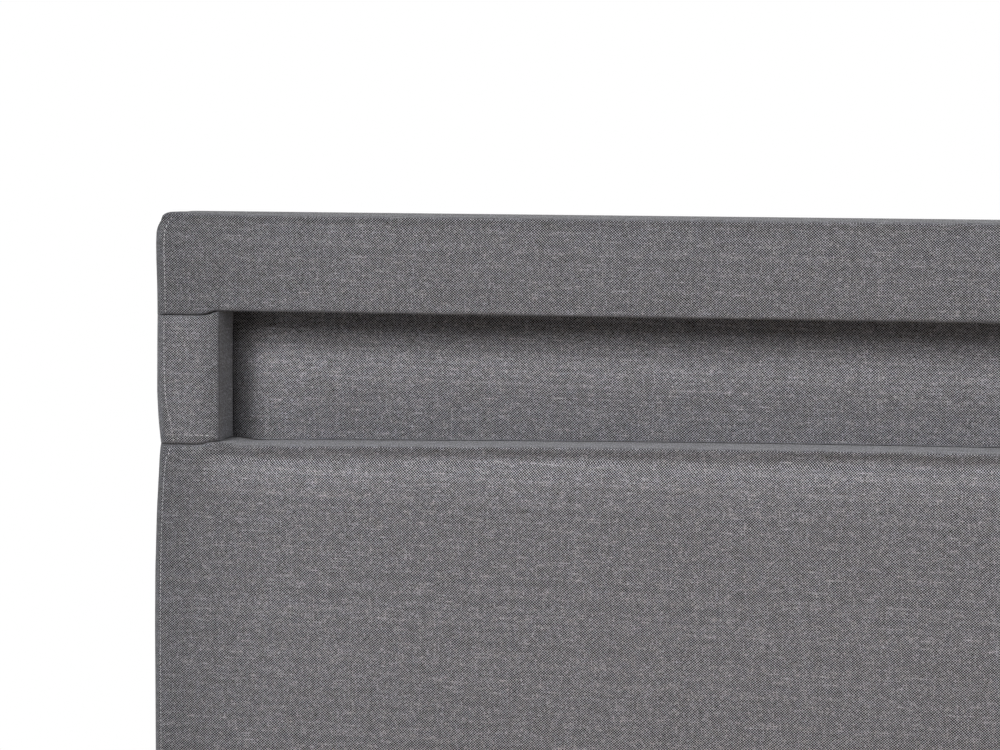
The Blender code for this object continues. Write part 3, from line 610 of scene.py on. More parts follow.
def ripple(place, period, seed):
    """A smooth, repeatable unevenness between -1 and 1 along a line."""
    count = 4096
    steps = np.random.RandomState(seed).uniform(-1.0, 1.0, count)
    here = np.asarray(place) / period + count / 2
    low = np.floor(here).astype(int)
    share = eased(here, low, low + 1)
    return steps[low % count] * (1.0 - share) + steps[(low + 1) % count] * share


def puckered(share, place, period, seed):
    """1, made uneven along a seam by a share."""
    return 1.0 + share * sizes().pucker * ripple(place, period, seed)


def over_post(across):
    """1 over the posts at the ends of the headboard and 0 over the niche."""
    return eased(np.abs(across), NICHE_HIGH.x, NICHE_HIGH.x + 0.014)


def ledge_rise(across):
    """How far the ledge under the niche stands up: most of all in the middle of the bed, and
    again where it ends under the inner edges of the posts."""
    end, place = NICHE_HIGH.x, np.abs(across)
    ear = eased(place, end + 0.017, end + 0.004) * eased(place, end - 0.030, end - 0.003)
    return LEDGE_RISE * np.clip(1.0 - (place / end) ** 2, 0.0, 1.0) + LEDGE_EAR * ear


# Padded covers

# Places of the cuts beside an edge, where the cloth bends most
FINE_CUTS = (0.0015, 0.003, 0.0045, 0.006, 0.009)
EDGE_CUTS = (0.0015, 0.003, 0.0045, 0.006, 0.0075, 0.009, 0.012, 0.015, 0.019, 0.024, 0.030, 0.038)
RIDGE_CUTS = (0.0015, 0.003, 0.0045, 0.006, 0.0075, 0.009, 0.0105, 0.012, 0.014, 0.016, 0.0185,
              0.021, 0.024, 0.028, 0.032, 0.037, 0.043, 0.050, 0.060, 0.072, 0.086)
DEPTH_CUTS = (0.0015, 0.003, 0.0045, 0.006, 0.009, 0.012, 0.015, 0.020, 0.027, 0.036)

# How far a padded face lies back before it swells, how deep the front of a pad reaches, the
# radius of its ends, how far an upright seam sinks, and the sharpest bend, in degrees, that is
# shaded smoothly
REST_DIP = 0.0012
PAD_DEPTH = 0.030
END_ROUND = 0.014
SEAM_SINK = 0.0006
COVER_ANGLE = 62.0

# The simulated skin; it grows by the share that shrink_min gives, below zero
CLOTH = {
    "quality": 5, "mass": 0.2, "tension_stiffness": 20.0, "compression_stiffness": 20.0,
    "shear_stiffness": 8.0, "bending_stiffness": 0.3, "use_pressure": True,
    "vertex_group_mass": "held", "shrink_min": -0.006,
}


def blown_skin(width, height, step, pressure, seed):
    """How far a skin of cover cloth, pinned round its rim, swells over its padding, at even
    steps in both directions. Its spare cloth puckers along the seams."""
    across, up = max(4, round(width / step)), max(4, round(height / step))
    deselect()
    bpy.ops.mesh.primitive_grid_add(x_subdivisions=across, y_subdivisions=up, size=1.0)
    skin = named("cover_skin")
    skin.scale = (width, height, 1.0)
    settle(skin)
    points = points_of(skin)
    points[:, 2] = np.random.RandomState(seed).uniform(0.0, 0.02 * step, len(points))
    set_points(skin, points)
    edge = np.minimum(width / 2 - np.abs(points[:, 0]), height / 2 - np.abs(points[:, 1]))
    pinned = np.nonzero(edge < 0.4 * step)[0]
    skin.vertex_groups.new(name="held").add([int(number) for number in pinned], 1.0, "REPLACE")
    item = skin.modifiers.new("cloth", "CLOTH")
    for key, value in CLOTH.items():
        setattr(item.settings, key, value)
    item.settings.uniform_pressure_force = pressure
    item.settings.effector_weights.gravity = 0.0
    item.collision_settings.use_collision = False
    last = sizes().cloth_frames
    item.point_cache.frame_start = 1
    item.point_cache.frame_end = last
    for number in range(1, last + 1):
        bpy.context.scene.frame_set(number)
    activate(skin)
    bpy.ops.object.modifier_apply(modifier=item.name)
    bpy.context.scene.frame_set(1)
    field = points_of(skin)[:, 2]
    order = np.lexsort((np.round(points[:, 1] / step * 4.0), np.round(points[:, 0] / step * 4.0)))
    field = field[order].reshape(across + 1, up + 1)
    bpy.data.objects.remove(skin, do_unlink=True)
    return field


def spline_weights(share):
    """The four weights of a smooth curve through evenly spaced values."""
    return (share * (share * (2.0 - share) - 1.0) / 2.0,
            (share * share * (3.0 * share - 5.0) + 2.0) / 2.0,
            share * (share * (4.0 - 3.0 * share) + 1.0) / 2.0,
            share * share * (share - 1.0) / 2.0)


def read_field(field, across, up):
    """Reads a field smoothly between its values; across and up run from 0 to 1."""
    total = 0.0
    places = []
    for share, count in ((across, field.shape[0]), (up, field.shape[1])):
        here = np.clip(share, 0.0, 1.0) * (count - 1)
        low = np.minimum(np.floor(here).astype(int), count - 2)
        places.append((low, spline_weights(here - low), count - 1))
    for one in range(4):
        column = np.clip(places[0][0] + one - 1, 0, places[0][2])
        for other in range(4):
            row = np.clip(places[1][0] + other - 1, 0, places[1][2])
            total = total + places[0][1][one] * places[1][1][other] * field[column, row]
    return total


def swell(points, face, low, high, front, cap, step, seed, pressure=3.0):
    """Swells the front of a cover as cloth that is blown up over its padding, by no more than
    the cap. The face is (axis, outward sign)."""
    depth, outward = face
    along, up = 1 - depth, 2
    field = blown_skin(high[along] - low[along], high[up] - low[up], step, pressure, seed)
    shares = [(points[:, axis] - low[axis]) / (high[axis] - low[axis]) for axis in (along, up)]
    points[:, depth] += outward * np.tanh(read_field(field, *shares) / cap) * cap * front


def graded(low, high, step, near_low=(), near_high=()):
    """Places between two ends: close together as listed near the ends, else evenly spaced."""
    first = low + max(near_low, default=0.0)
    last = high - max(near_high, default=0.0)
    places = [low + gap for gap in near_low] + [high - gap for gap in near_high]
    places += even(first, last, step)[1:-1]
    return sorted(place for place in places if low + CLEAR < place < high - CLEAR)


def cut_grid(piece, **cuts):
    """Cuts the piece at the listed places along x, y and z."""
    open_edit(piece)
    for name, places in cuts.items():
        for place in places:
            slice_at("xyz".index(name), place)
    close_edit()


def open_back(piece, place):
    """Takes the flat, hidden back away while the rest is cut."""
    open_edit(piece)
    pick_faces(piece, 1, 1, lambda middle: abs(middle.y - place) < CLEAR)
    bpy.ops.mesh.delete(type="ONLY_FACE")
    close_edit()


def wrapped_pad(name, low, high, wrap_z=math.inf):
    """A padded block without its hidden back, whose flaps wrap round the core board at its sides
    and above a height."""
    back, wrap_x = CORE_LOW.y - CLEAR, CORE_HIGH.x + CLEAR
    piece = start_box(name, low, (high.x, back, high.z))
    open_edit(piece)
    for sign in (-1, 1):
        if low.x < sign * wrap_x < high.x:
            slice_at(0, sign * wrap_x)
    if wrap_z < high.z:
        slice_at(2, wrap_z)
    pick_faces(piece, 1, 1, lambda middle: abs(middle.x) > wrap_x or middle.z > wrap_z)
    extrude(1, high.y - back)
    close_edit()
    open_back(piece, back)
    return piece


def cut_pad(piece, **cuts):
    """Cuts a pad into a grid, fills its back as one flat face and returns its points."""
    cut_grid(piece, **cuts)
    open_edit(piece)
    bpy.ops.mesh.select_mode(type="EDGE")
    bpy.ops.mesh.select_non_manifold()
    bpy.ops.mesh.edge_face_add()
    close_edit()
    return points_of(piece)


def round_edge(points, one, other, radius):
    """Rounds the edge between two flat faces, each given as (axis, place, outward sign)."""
    gaps = [radius - (place - points[:, axis]) * sign for axis, place, sign in (one, other)]
    inside = (gaps[0] > 0.0) & (gaps[1] > 0.0)
    length = np.maximum(np.hypot(*gaps), 1e-9)
    change = np.where(inside, np.maximum(*gaps) / length - 1.0, 0.0)
    for (axis, place, sign), gap in zip((one, other), gaps):
        points[:, axis] += sign * gap * change


def end_shade(points, high, reach):
    """Painted shade: darkens the ends of a long cover a little, over the reach."""
    side = np.clip((high.x - np.abs(points[:, 0])) / reach, 0.0, 1.0)
    return 0.76 + 0.24 * side ** 0.8


def draw_ends(points, high, distance, steps):
    """Moves the ends of a cover in, or out where the table is negative, over 40 mm."""
    side = np.clip(1.0 - (high.x - np.abs(points[:, 0])) / 0.040, 0.0, 1.0)
    points[:, 0] -= np.sign(points[:, 0]) * table(distance, steps) * side


def seam_column(points, low, high, gap):
    """The points of the front on the upright seam beside each end, before they are moved."""
    at_seam = np.abs(high.x - np.abs(points[:, 0]) - gap) < CLEAR
    return at_seam & (points[:, 1] < low.y + CLEAR)


def sink_seam(points, seam):
    """Draws the cloth in along a seam."""
    points[seam, 0] -= 0.4 * SEAM_SINK * np.sign(points[seam, 0])
    points[seam, 1] += 0.9 * SEAM_SINK


def unroll(piece, front, plane, outward=-1.0):
    """Lays the weave over a cover in metres: level threads along its length, and round its
    edges without a break. front is the axis of its main face, and plane its place."""
    along, up = 1 - front, 2
    mesh = piece.data
    layer = mesh.uv_layers.new(name="weave")
    tilt = np.repeat(read_all(mesh.polygons, "normal", 3),
                     read_all(mesh.polygons, "loop_total", kind=int), axis=0)
    verts = read_all(mesh.loops, "vertex_index", kind=int)
    points = points_of(piece)[verts]
    leans = read_all(mesh.vertices, "normal", 3)[verts, front]
    depth = (points[:, front] - plane) * -outward * eased(np.abs(leans), 0.90, 0.45)
    level = np.abs(tilt[:, up]) >= np.abs(tilt[:, along])
    height = points[:, up] + np.where(level, np.sign(tilt[:, up]) * depth, 0.0)
    across = points[:, along] + np.where(level, 0.0, np.sign(tilt[:, along]) * depth)
    layer.data.foreach_set("uv", np.column_stack((across, height)).ravel())
    mesh.uv_layers.active = layer


def tone_down(piece, shade):
    """Keeps the painted shade and painted highlights of a cover at each point, as a share of its
    colour.
    """
    layer = piece.data.attributes.new("shade", "FLOAT", "POINT")
    layer.data.foreach_set("value", np.asarray(shade, dtype=float))


def finish_cover(piece, node, plane, front=1, outward=-1.0):
    """Lays the weave on a cover, paints it, lets it ride on the bed base and hides the solid it stands
    for.
    """
    smooth(piece, COVER_ANGLE)
    unroll(piece, front, plane, outward)
    if "shade" not in piece.data.attributes:
        tone_down(piece, np.ones(len(piece.data.vertices)))
    paint(piece, "cover")
    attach(piece, "bed_base")
    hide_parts(node)


# The profiles of the bolster: how far its front falls back and how far its top stands up, by the
# distance from the top and from the end, and how far its ends draw in, by that from the top
BOLSTER_DIP = ((0.0, 0.0008), (0.0015, 0.0003), (0.003, 0.0006), (0.005, 0.0016), (0.008, 0.0026),
               (0.012, 0.0025), (0.018, 0.0016), (0.028, 0.0006), (0.040, 0.0))
BOLSTER_LIFT = ((0.0, 0.0004), (0.008, 0.0014), (0.016, 0.0021), (0.026, 0.0021), (0.045, 0.0013),
                (0.080, 0.0))
BOLSTER_DRAW = ((0.0, 0.0006), (0.002, 0.0008), (0.006, 0.0005), (0.010, 0.0), (0.018, -0.0012),
                (0.028, -0.0014), (0.045, -0.0011), (0.070, -0.0003), (0.095, -0.0001))


class StorageBedHeadboardBolster(bpy.types.Operator):
    """Makes the long padded bar along the top of the headboard"""
    bl_idname = "storage_bed.headboard_bolster"
    bl_label = "Headboard Bolster"

    def execute(self, context):
        low, high = BOLSTER_LOW, BOLSTER_HIGH
        piece = wrapped_pad("bolster_cover", low, high, CORE_HIGH.z + CLEAR)
        points = cut_pad(piece, z=graded(low.z, high.z, 0.008, FINE_CUTS, RIDGE_CUTS[:16]),
                         y=graded(low.y, high.y, 0.010, DEPTH_CUTS),
                         x=graded(low.x, high.x, 0.0055, EDGE_CUTS, EDGE_CUTS))
        seam = seam_column(points, low, high, 0.0075)
        crown = points[:, 2] > high.z - CLEAR
        top_face, front_face = (2, high.z, 1), (1, low.y, -1)
        for sign in (-1, 1):
            round_edge(points, (0, sign * high.x, sign), top_face, 0.017)
            round_edge(points, (0, sign * high.x, sign), front_face, END_ROUND)
        round_edge(points, (2, low.z, -1), front_face, 0.004)
        round_edge(points, top_face, front_face, 0.002)
        across = points[:, 0].copy()
        front = near(points, 1, low.y, PAD_DEPTH)
        swell(points, (1, -1), low, high, front, cap=0.0012, step=0.014, seed=2)
        top = (high.z - points[:, 2]) * puckered(0.15, across, 0.060, 8)
        dip = table(top, BOLSTER_DIP) * puckered(0.25, across, 0.042, 3)
        points[:, 1] += (dip + REST_DIP) * front
        lift = table(high.x - np.abs(across), BOLSTER_LIFT)
        lift = lift * eased(points[:, 1], high.y, low.y) + 0.0010
        points[:, 2] += eased(high.z - points[:, 2], 0.030, 0.0) * lift
        lower = eased(points[:, 2], low.z + 0.020, low.z)
        points[:, 2] -= POST_SEAM_DROP * over_post(across) * lower
        draw_ends(points, high, high.z - points[:, 2], BOLSTER_DRAW)
        sink_seam(points, seam)
        set_points(piece, points)
        # Painted shading: the front is painted 10% darker than the top face, and darker still towards
        # the ends.
        tone_down(piece, (0.90 + 0.10 * crown) * end_shade(points, high, 0.19))
        finish_cover(piece, "headboard_top_bolster", low.y)
        return {"FINISHED"}


# The profiles of a post, by the distance from its base, from its top and again from its base,
# and its painted shade by the distance from the end of the headboard
POST_BASE_DIP = ((0.0, 0.0026), (0.0015, 0.0015), (0.004, 0.0009), (0.012, 0.0003), (0.020, 0.0))
POST_TOP_DIP = ((0.0, 0.0018), (0.0015, 0.0008), (0.006, 0.0003), (0.014, 0.0))
POST_DRAW = ((0.0, 0.0028), (0.010, 0.0020), (0.025, 0.0006), (0.050, -0.0007), (0.100, -0.0004),
             (0.133, -0.0001))
POST_PAINTED_SHADE = ((0.0, 0.80), (0.010, 0.82), (0.022, 0.97), (0.042, 0.97), (0.050, 0.84),
              (0.060, 0.74))


class StorageBedHeadboardPosts(bpy.types.Operator):
    """Makes the two short padded uprights beside the niche"""
    bl_idname = "storage_bed.headboard_posts"
    bl_label = "Headboard Posts"

    def execute(self, context):
        low, high = corners("headboard_post_pad_right")
        piece = wrapped_pad("post_cover_right", low, high)
        points = cut_pad(piece, z=graded(low.z, high.z, 0.006, FINE_CUTS, FINE_CUTS),
                         y=graded(low.y, high.y, 0.008, DEPTH_CUTS),
                         x=graded(low.x, high.x, 0.005, FINE_CUTS, EDGE_CUTS))
        reach, depth = high.x - points[:, 0], points[:, 1] - low.y
        round_edge(points, (0, high.x, 1), (1, low.y, -1), END_ROUND)
        round_edge(points, (0, low.x, -1), (1, low.y, -1), 0.003)
        front = near(points, 1, low.y, PAD_DEPTH)
        swell(points, (1, -1), low, high, front, cap=0.0008, step=0.006, seed=3)
        base = points[:, 2] - low.z
        points[:, 2] += ledge_rise(points[:, 0]) * eased(base, 0.040, 0.0)
        drop = POST_SEAM_DROP * over_post(points[:, 0])
        points[:, 2] -= drop * eased(base, high.z - low.z - 0.025, high.z - low.z)
        dip = np.maximum(table(base, POST_BASE_DIP), table(high.z - points[:, 2], POST_TOP_DIP))
        points[:, 1] += (dip + REST_DIP) * front
        draw_ends(points, high, base, POST_DRAW)
        points[:, 0] -= near(points, 0, low.x, 0.020) * (0.0028 + 0.0014 * front)
        set_points(piece, points)
        # Painted shading: the sides are painted 8% lighter, and the front darker towards its ends.
        tone_down(piece, np.where(depth > 0.004, 1.08, table(reach, POST_PAINTED_SHADE)))
        other = twin(piece, "post_cover_left")
        finish_cover(piece, "headboard_post_pad_right", low.y)
        finish_cover(other, "headboard_post_pad_left", low.y)
        return {"FINISHED"}


# Painted shadow in the nook beside a post: how dark the panel is painted, by the distance from its end,
# with a painted highlight a little further in
NOOK_PAINTED_SHADE = ((0.0, 0.54), (0.006, 0.55), (0.015, 0.60), (0.025, 0.85), (0.034, 1.07),
              (0.080, 1.07), (0.100, 1.01))


class StorageBedNichePanel(bpy.types.Operator):
    """Makes the thin padded panel at the back of the niche"""
    bl_idname = "storage_bed.niche_panel"
    bl_label = "Niche Panel"

    def execute(self, context):
        low, high = NICHE_LOW, NICHE_HIGH
        piece = start_box("niche_panel_cover", low, high)
        open_back(piece, high.y)
        points = cut_pad(piece, z=graded(low.z, high.z, 0.0055, FINE_CUTS, FINE_CUTS),
                         y=(low.y + 0.0015, low.y + 0.003, low.y + 0.005),
                         x=graded(low.x, high.x, 0.0055, FINE_CUTS, FINE_CUTS))
        front = near(points, 1, low.y, high.y - low.y)
        swell(points, (1, -1), low, high, front, cap=0.0008, step=0.012, seed=4, pressure=2.0)
        share = (points[:, 2] - low.z) / (high.z - low.z)
        ends = high.x - np.abs(points[:, 0])
        points[:, 2] += ledge_rise(points[:, 0]) * (1.0 - share)
        points[:, 0] *= 1.0 - 0.0032 / high.x
        fall = 0.0100 * eased(share, 0.44, 0.97) + 0.0066 * eased(share, 0.46, -0.04)
        fall = np.maximum(fall * puckered(0.2, points[:, 0], 0.16, 5), 0.0070 * eased(ends, 0.036, 0.0))
        points[:, 1] += (fall - 0.0028) * front
        points[:, 1] += 0.0003 * ripple(points[:, 0] + 0.5 * points[:, 2], 0.060, 6) * front
        set_points(piece, points)
        # Painted shading: a painted shadow beside each post, and a painted highlight along the crest of
        # the swell.
        painted_highlight = np.exp(-((share - 0.58) / 0.15) ** 2)
        tone_down(piece, table(ends, NOOK_PAINTED_SHADE) * (1.0 + 0.10 * painted_highlight * front))
        finish_cover(piece, "headboard_niche_panel", low.y)
        return {"FINISHED"}


# The profiles of the lower pad, by the distance from its top edge beside the niche, from its top
# edge under a post, from the floor side and again from the top edge
PAD_RIM_DIP = ((0.0, 0.0052), (0.0015, 0.0046), (0.003, 0.0048), (0.006, 0.0066), (0.009, 0.0084),
               (0.012, 0.0094), (0.014, 0.0094), (0.016, 0.0086), (0.0185, 0.0070), (0.021, 0.0053),
               (0.024, 0.0036), (0.028, 0.0020), (0.032, 0.0011), (0.043, 0.0005), (0.060, 0.0))
PAD_POST_DIP = ((0.0, 0.0022), (0.0015, 0.0012), (0.004, 0.0006), (0.012, 0.0))
PAD_BASE_DIP = ((0.0, 0.0040), (0.010, 0.0016), (0.030, 0.0))
PAD_DRAW = ((0.0, 0.0028), (0.012, 0.0018), (0.030, 0.0008), (0.067, -0.0014), (0.125, -0.0032),
            (0.180, -0.0038), (0.260, -0.0035), (0.812, -0.0026))


class StorageBedLowerPad(bpy.types.Operator):
    """Makes the large padded panel of the headboard under the niche"""
    bl_idname = "storage_bed.lower_pad"
    bl_label = "Headboard Lower Pad"

    def execute(self, context):
        low, high = LOWER_LOW, LOWER_HIGH
        piece = wrapped_pad("lower_pad_cover", low, high)
        points = cut_pad(piece, z=graded(low.z, high.z, 0.013, EDGE_CUTS[1::2], RIDGE_CUTS),
                         y=graded(low.y, high.y, 0.012, DEPTH_CUTS),
                         x=graded(low.x, high.x, 0.0055, EDGE_CUTS, EDGE_CUTS))
        seam = seam_column(points, low, high, 0.006)
        for sign in (-1, 1):
            round_edge(points, (0, sign * high.x, sign), (1, low.y, -1), END_ROUND)
        round_edge(points, (2, low.z, -1), (1, low.y, -1), 0.010)
        front = near(points, 1, low.y, PAD_DEPTH)
        swell(points, (1, -1), low, high, front, cap=0.0012, step=0.020, seed=5)
        below = high.z - points[:, 2]
        self.shape_top(points, low, high, below)
        sink_seam(points, seam)
        set_points(piece, points)
        # Painted shading: painted highlights on the swell under the rim and on the top of the ledge,
        # painted shade near the upper corners and towards the ends.
        painted_highlight = eased(below, 0.012, 0.018) * eased(below, 0.062, 0.026)
        painted_highlight = (0.17 * painted_highlight + 0.42 * (below < CLEAR)) * (1.0 - over_post(points[:, 0]))
        corner = eased(high.x - np.abs(points[:, 0]), 0.045, 0.0) * eased(below, 0.17, 0.08)
        tone_down(piece, end_shade(points, high, 0.13) * (1.0 + painted_highlight) * (1.0 - 0.12 * corner))
        finish_cover(piece, "headboard_lower_pad", low.y)
        return {"FINISHED"}

    def shape_top(self, points, low, high, below):
        """Sews the top edge: a rolled rim, a puckered groove under it and the swell below."""
        across = points[:, 0].copy()
        front = near(points, 1, low.y, 0.034)
        top = below * puckered(0.22, across, 0.070, 11) \
            + 0.0012 * sizes().pucker * ripple(across, 0.024, 12) * np.clip(below / 0.006, 0.0, 1.0)
        rim = table(top, PAD_RIM_DIP) * (
            puckered(0.22, across, 0.055, 13) + 0.12 * sizes().pucker * ripple(across, 0.021, 14))
        post = eased(np.abs(across), high.x - 0.066, high.x - 0.048)
        dip = rim * (1.0 - post) + table(top, PAD_POST_DIP) * post
        dip += table(points[:, 2] - low.z, PAD_BASE_DIP)
        side = high.x - np.abs(across)
        slow = ripple(across + 0.3 * points[:, 2], 0.23, 15) * ripple(points[:, 2], 0.17, 16)
        points[:, 1] += (dip + REST_DIP + 0.0006 * slow * np.clip(side / 0.1, 0.0, 1.0)) * front
        draw_ends(points, high, below, PAD_DRAW)
        points[:, 2] += (ledge_rise(across) - 0.0004) * np.clip(1.0 - below / 0.20, 0.0, 1.0)


# A stitch of sewing thread, its step along a seam, and how far the rows on the bolster, a post and
# the lower pad lie in from the ends, by the height over the start of each row
STITCH_SIZE = (0.0036, 0.0010, 0.0008)
STITCH_STEP = 0.0042
BOLSTER_ROW = ((0.0, 0.0116),)
POST_ROW = ((0.0, 0.0170), (0.020, 0.0160), (0.041, 0.0124), (0.084, 0.0103))
PAD_ROW = ((0.775, 0.0088), (0.797, 0.0098), (0.803, 0.0130))

# The row along the hem of a post: its ends, its step and its height over the lower pad
HEM_ROW = (0.806, 0.847, 0.0056)
HEM_RISE = 0.0095

# Places outside the bed from which the covers are looked for, and how deep behind their fronts
BESIDE_BED = 1.2
AHEAD_OF_BED = 0.1
END_DEPTH = 0.022


class StorageBedStitching(bpy.types.Operator):
    """Sews the upright seams beside the ends of the headboard, and the hems of its posts"""
    bl_idname = "storage_bed.stitching"
    bl_label = "Headboard Stitching"

    def execute(self, context):
        context.view_layer.update()
        seam, ahead = BOLSTER_LOW.z - POST_SEAM_DROP, HEAD_FRONT - AHEAD_OF_BED
        for side, sign in SIDES:
            places = []
            rows = (("bolster_cover", seam, BOLSTER_HIGH.z, BOLSTER_ROW),
                    ("post_cover_" + side, LOWER_HIGH.z, seam, POST_ROW),
                    ("lower_pad_cover", LOWER_LOW.z, LOWER_HIGH.z, PAD_ROW))
            for name, low, high, gaps in rows:
                cover = bpy.data.objects[name]
                for height in np.arange(low + 0.004, high - 0.003, STITCH_STEP):
                    beside = (sign * BESIDE_BED, HEAD_FRONT + END_DEPTH, height)
                    end = self.meet(cover, beside, (-sign, 0.0, 0.0))[0]
                    gap = table(height - low, gaps)
                    places.append(self.lie(cover, (end.x - sign * gap, ahead, height), (0.0, 0.0, 1.0)))
            cover = bpy.data.objects["post_cover_" + side]
            for across in np.arange(*HEM_ROW):
                start = (sign * across, ahead, LOWER_HIGH.z + HEM_RISE)
                places.append(self.lie(cover, start, (1.0, 0.0, 0.0)))
            piece = copies(self.stitch(), places, "headboard_stitches_" + side)
            activate(piece)
            bpy.ops.object.shade_smooth()
            paint(piece, "thread")
            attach(piece, "bed_base")
        return {"FINISHED"}

    def stitch(self):
        """A stitch along X, its ends sunk into the cloth."""
        length, width, height = STITCH_SIZE
        deselect()
        bpy.ops.mesh.primitive_uv_sphere_add(segments=8, ring_count=6, radius=0.5,
                                             rotation=(0.0, math.pi / 2, 0.0))
        piece = settle(named("one_stitch"))
        piece.scale = STITCH_SIZE
        settle(piece)
        points = points_of(piece)
        points[:, 2] -= 0.4 * height * (2.0 * points[:, 0] / length) ** 2
        set_points(piece, points)
        return piece

    def meet(self, cover, start, toward):
        """Where a straight line from outside first meets a cover, and the normal there."""
        found, place, normal, _ = cover.ray_cast(Vector(start), Vector(toward))
        if not found:
            raise ValueError("nothing of %s lies that way" % cover.name)
        return place, normal

    def lie(self, cover, start, along):
        """The place and turn of a stitch on the front of a cover."""
        place, normal = self.meet(cover, start, (0.0, 1.0, 0.0))
        side = normal.cross(Vector(along)).normalized()
        return lying(place, normal, side.cross(normal))


# The profiles of a rail cover, by the distance from its ends and from its lower edge, and how
# far its cloth reaches down the inner face of the board
RAIL_END_DIP = ((0.0, 0.0022), (0.0015, 0.0012), (0.006, 0.0005), (0.014, 0.0))
RAIL_HEM_DIP = ((0.0, 0.0020), (0.008, 0.0009), (0.020, 0.0))
RAIL_TUCK = 0.045


def wrap_rail(piece, axis, sign, low, high, board, side=math.inf):
    """Wraps a rail cover over the top of its board and down its inner face, which looks along
    the axis; the cover also wraps round the board's ends at the side."""
    inner, edge = (high, board[1]) if sign > 0 else (low, board[0])
    outer = board[0][axis] - CLEAR if sign > 0 else board[1][axis] + CLEAR
    top = board[1].z + CLEAR
    open_edit(piece)
    slice_at(2, top)
    if side < high.x:
        slice_at(0, side)
        slice_at(0, -side)
    pick_faces(piece, axis, sign, lambda middle: abs(middle.x) > side or middle.z > top)
    extrude(axis, inner[axis] - outer)
    slice_at(axis, edge[axis] + sign * CLEAR)
    pick_faces(piece, 2, -1, lambda middle: abs(middle.x) < side and middle.z > low.z + CLEAR
               and (middle[axis] - edge[axis]) * sign > 0.0)
    extrude(2, high.z - RAIL_TUCK - top)
    close_edit()


def pad_rail(points, face, low, high, seeds, ends=0.0):
    """Swells the outer face of a rail cover and eases its lower edge and its top; ends holds how
    far its ends lie back."""
    axis, outward = face
    along = points[:, 1 - axis].copy()
    plane = high[axis] if outward > 0 else low[axis]
    outer = near(points, axis, plane, -outward * 0.014)
    swell(points, face, low, high, outer, cap=0.0012, step=0.020, seed=seeds[0])
    dip = REST_DIP + 0.0005 * ripple(along, 0.19, seeds[1]) * ripple(points[:, 2], 0.13, seeds[2])
    dip += ends + table(points[:, 2] - low.z, RAIL_HEM_DIP)
    points[:, axis] -= outward * dip * outer
    top = near(points, 2, high.z, -0.006)
    points[:, 2] -= top * (0.0006 + 0.0005 * ripple(along, 0.09, seeds[3]))


class StorageBedSideRails(bpy.types.Operator):
    """Makes the padded covers of the two side rails"""
    bl_idname = "storage_bed.side_rails"
    bl_label = "Side Rail Covers"

    def execute(self, context):
        low, high = corners("side_rail_cover_right")
        board = corners("side_rail_board_right")
        piece = start_box("rail_cover_right", (board[1].x + CLEAR, low.y, low.z), high)
        wrap_rail(piece, 0, -1, low, high, board)
        cut_grid(piece, z=graded(low.z, high.z, 0.014, EDGE_CUTS[1::2], EDGE_CUTS),
                 x=graded(low.x, high.x, 0.006, (0.0015, 0.003), FINE_CUTS),
                 y=graded(low.y, high.y, 0.009, FINE_CUTS, FINE_CUTS))
        points = points_of(piece)
        outer, top = (0, high.x, 1), (2, high.z, 1)
        round_edge(points, outer, top, 0.008)
        round_edge(points, (0, low.x, -1), top, 0.003)
        round_edge(points, outer, (2, low.z, -1), 0.005)
        ends = np.minimum(points[:, 1] - low.y, high.y - points[:, 1])
        pad_rail(points, (0, 1), low, high, (6, 21, 22, 23), table(ends, RAIL_END_DIP))
        set_points(piece, points)
        other = twin(piece, "rail_cover_left")
        finish_cover(piece, "side_rail_cover_right", high.x, front=0, outward=1.0)
        finish_cover(other, "side_rail_cover_left", -high.x, front=0)
        return {"FINISHED"}


class StorageBedFootRail(bpy.types.Operator):
    """Makes the padded cover of the foot rail"""
    bl_idname = "storage_bed.foot_rail"
    bl_label = "Foot Rail Cover"

    def execute(self, context):
        low, high = corners("foot_rail_cover")
        board = corners("foot_rail_board")
        piece = start_box("foot_cover", low, (high.x, board[0].y - CLEAR, high.z))
        wrap_rail(piece, 1, 1, low, high, board, board[1].x + CLEAR)
        cut_grid(piece, z=graded(low.z, high.z, 0.014, EDGE_CUTS[1::2], EDGE_CUTS),
                 y=graded(low.y, high.y, 0.006, FINE_CUTS, (0.0015, 0.003)),
                 x=graded(low.x, high.x, 0.009, EDGE_CUTS, EDGE_CUTS))
        points = points_of(piece)
        outer, top = (1, low.y, -1), (2, high.z, 1)
        for sign in (-1, 1):
            round_edge(points, (0, sign * high.x, sign), outer, 0.012)
            round_edge(points, (0, sign * high.x, sign), top, 0.008)
        round_edge(points, outer, top, 0.008)
        round_edge(points, (1, high.y, 1), top, 0.003)
        round_edge(points, outer, (2, low.z, -1), 0.005)
        pad_rail(points, (1, -1), low, high, (7, 31, 32, 33))
        set_points(piece, points)
        finish_cover(piece, "foot_rail_cover", low.y)
        return {"FINISHED"}


# Fittings

def pressed_ring(name, radius, height, hole, sink, bevel, hexagon=False):
    """A round head or ring on the XY plane with a rounded rim and a sunk hole in its top."""
    deselect()
    bpy.ops.mesh.primitive_cylinder_add(vertices=24, radius=radius, depth=height,
                                        location=(0.0, 0.0, height / 2))
    piece = settle(named(name))
    open_edit(piece)
    pick(piece, "EDGE", lambda edge: all(vert.co.z > height - CLEAR for vert in edge.verts))
    bpy.ops.mesh.bevel(offset=bevel, segments=4)
    pick(piece, "FACE", lambda face: face.normal.z > 0.999 and len(face.verts) > 4)
    bpy.ops.mesh.inset(thickness=radius - bevel - hole)
    extrude(2, -sink)
    close_edit()
    if hexagon:
        points = points_of(piece)
        reach = np.hypot(points[:, 0], points[:, 1])
        turn = np.mod(np.arctan2(points[:, 1], points[:, 0]), math.pi / 3) - math.pi / 6
        share = np.where(reach < hole + CLEAR, 0.87 / np.cos(turn), 1.0)
        points[:, :2] *= share[:, None]
        set_points(piece, points)
    return piece


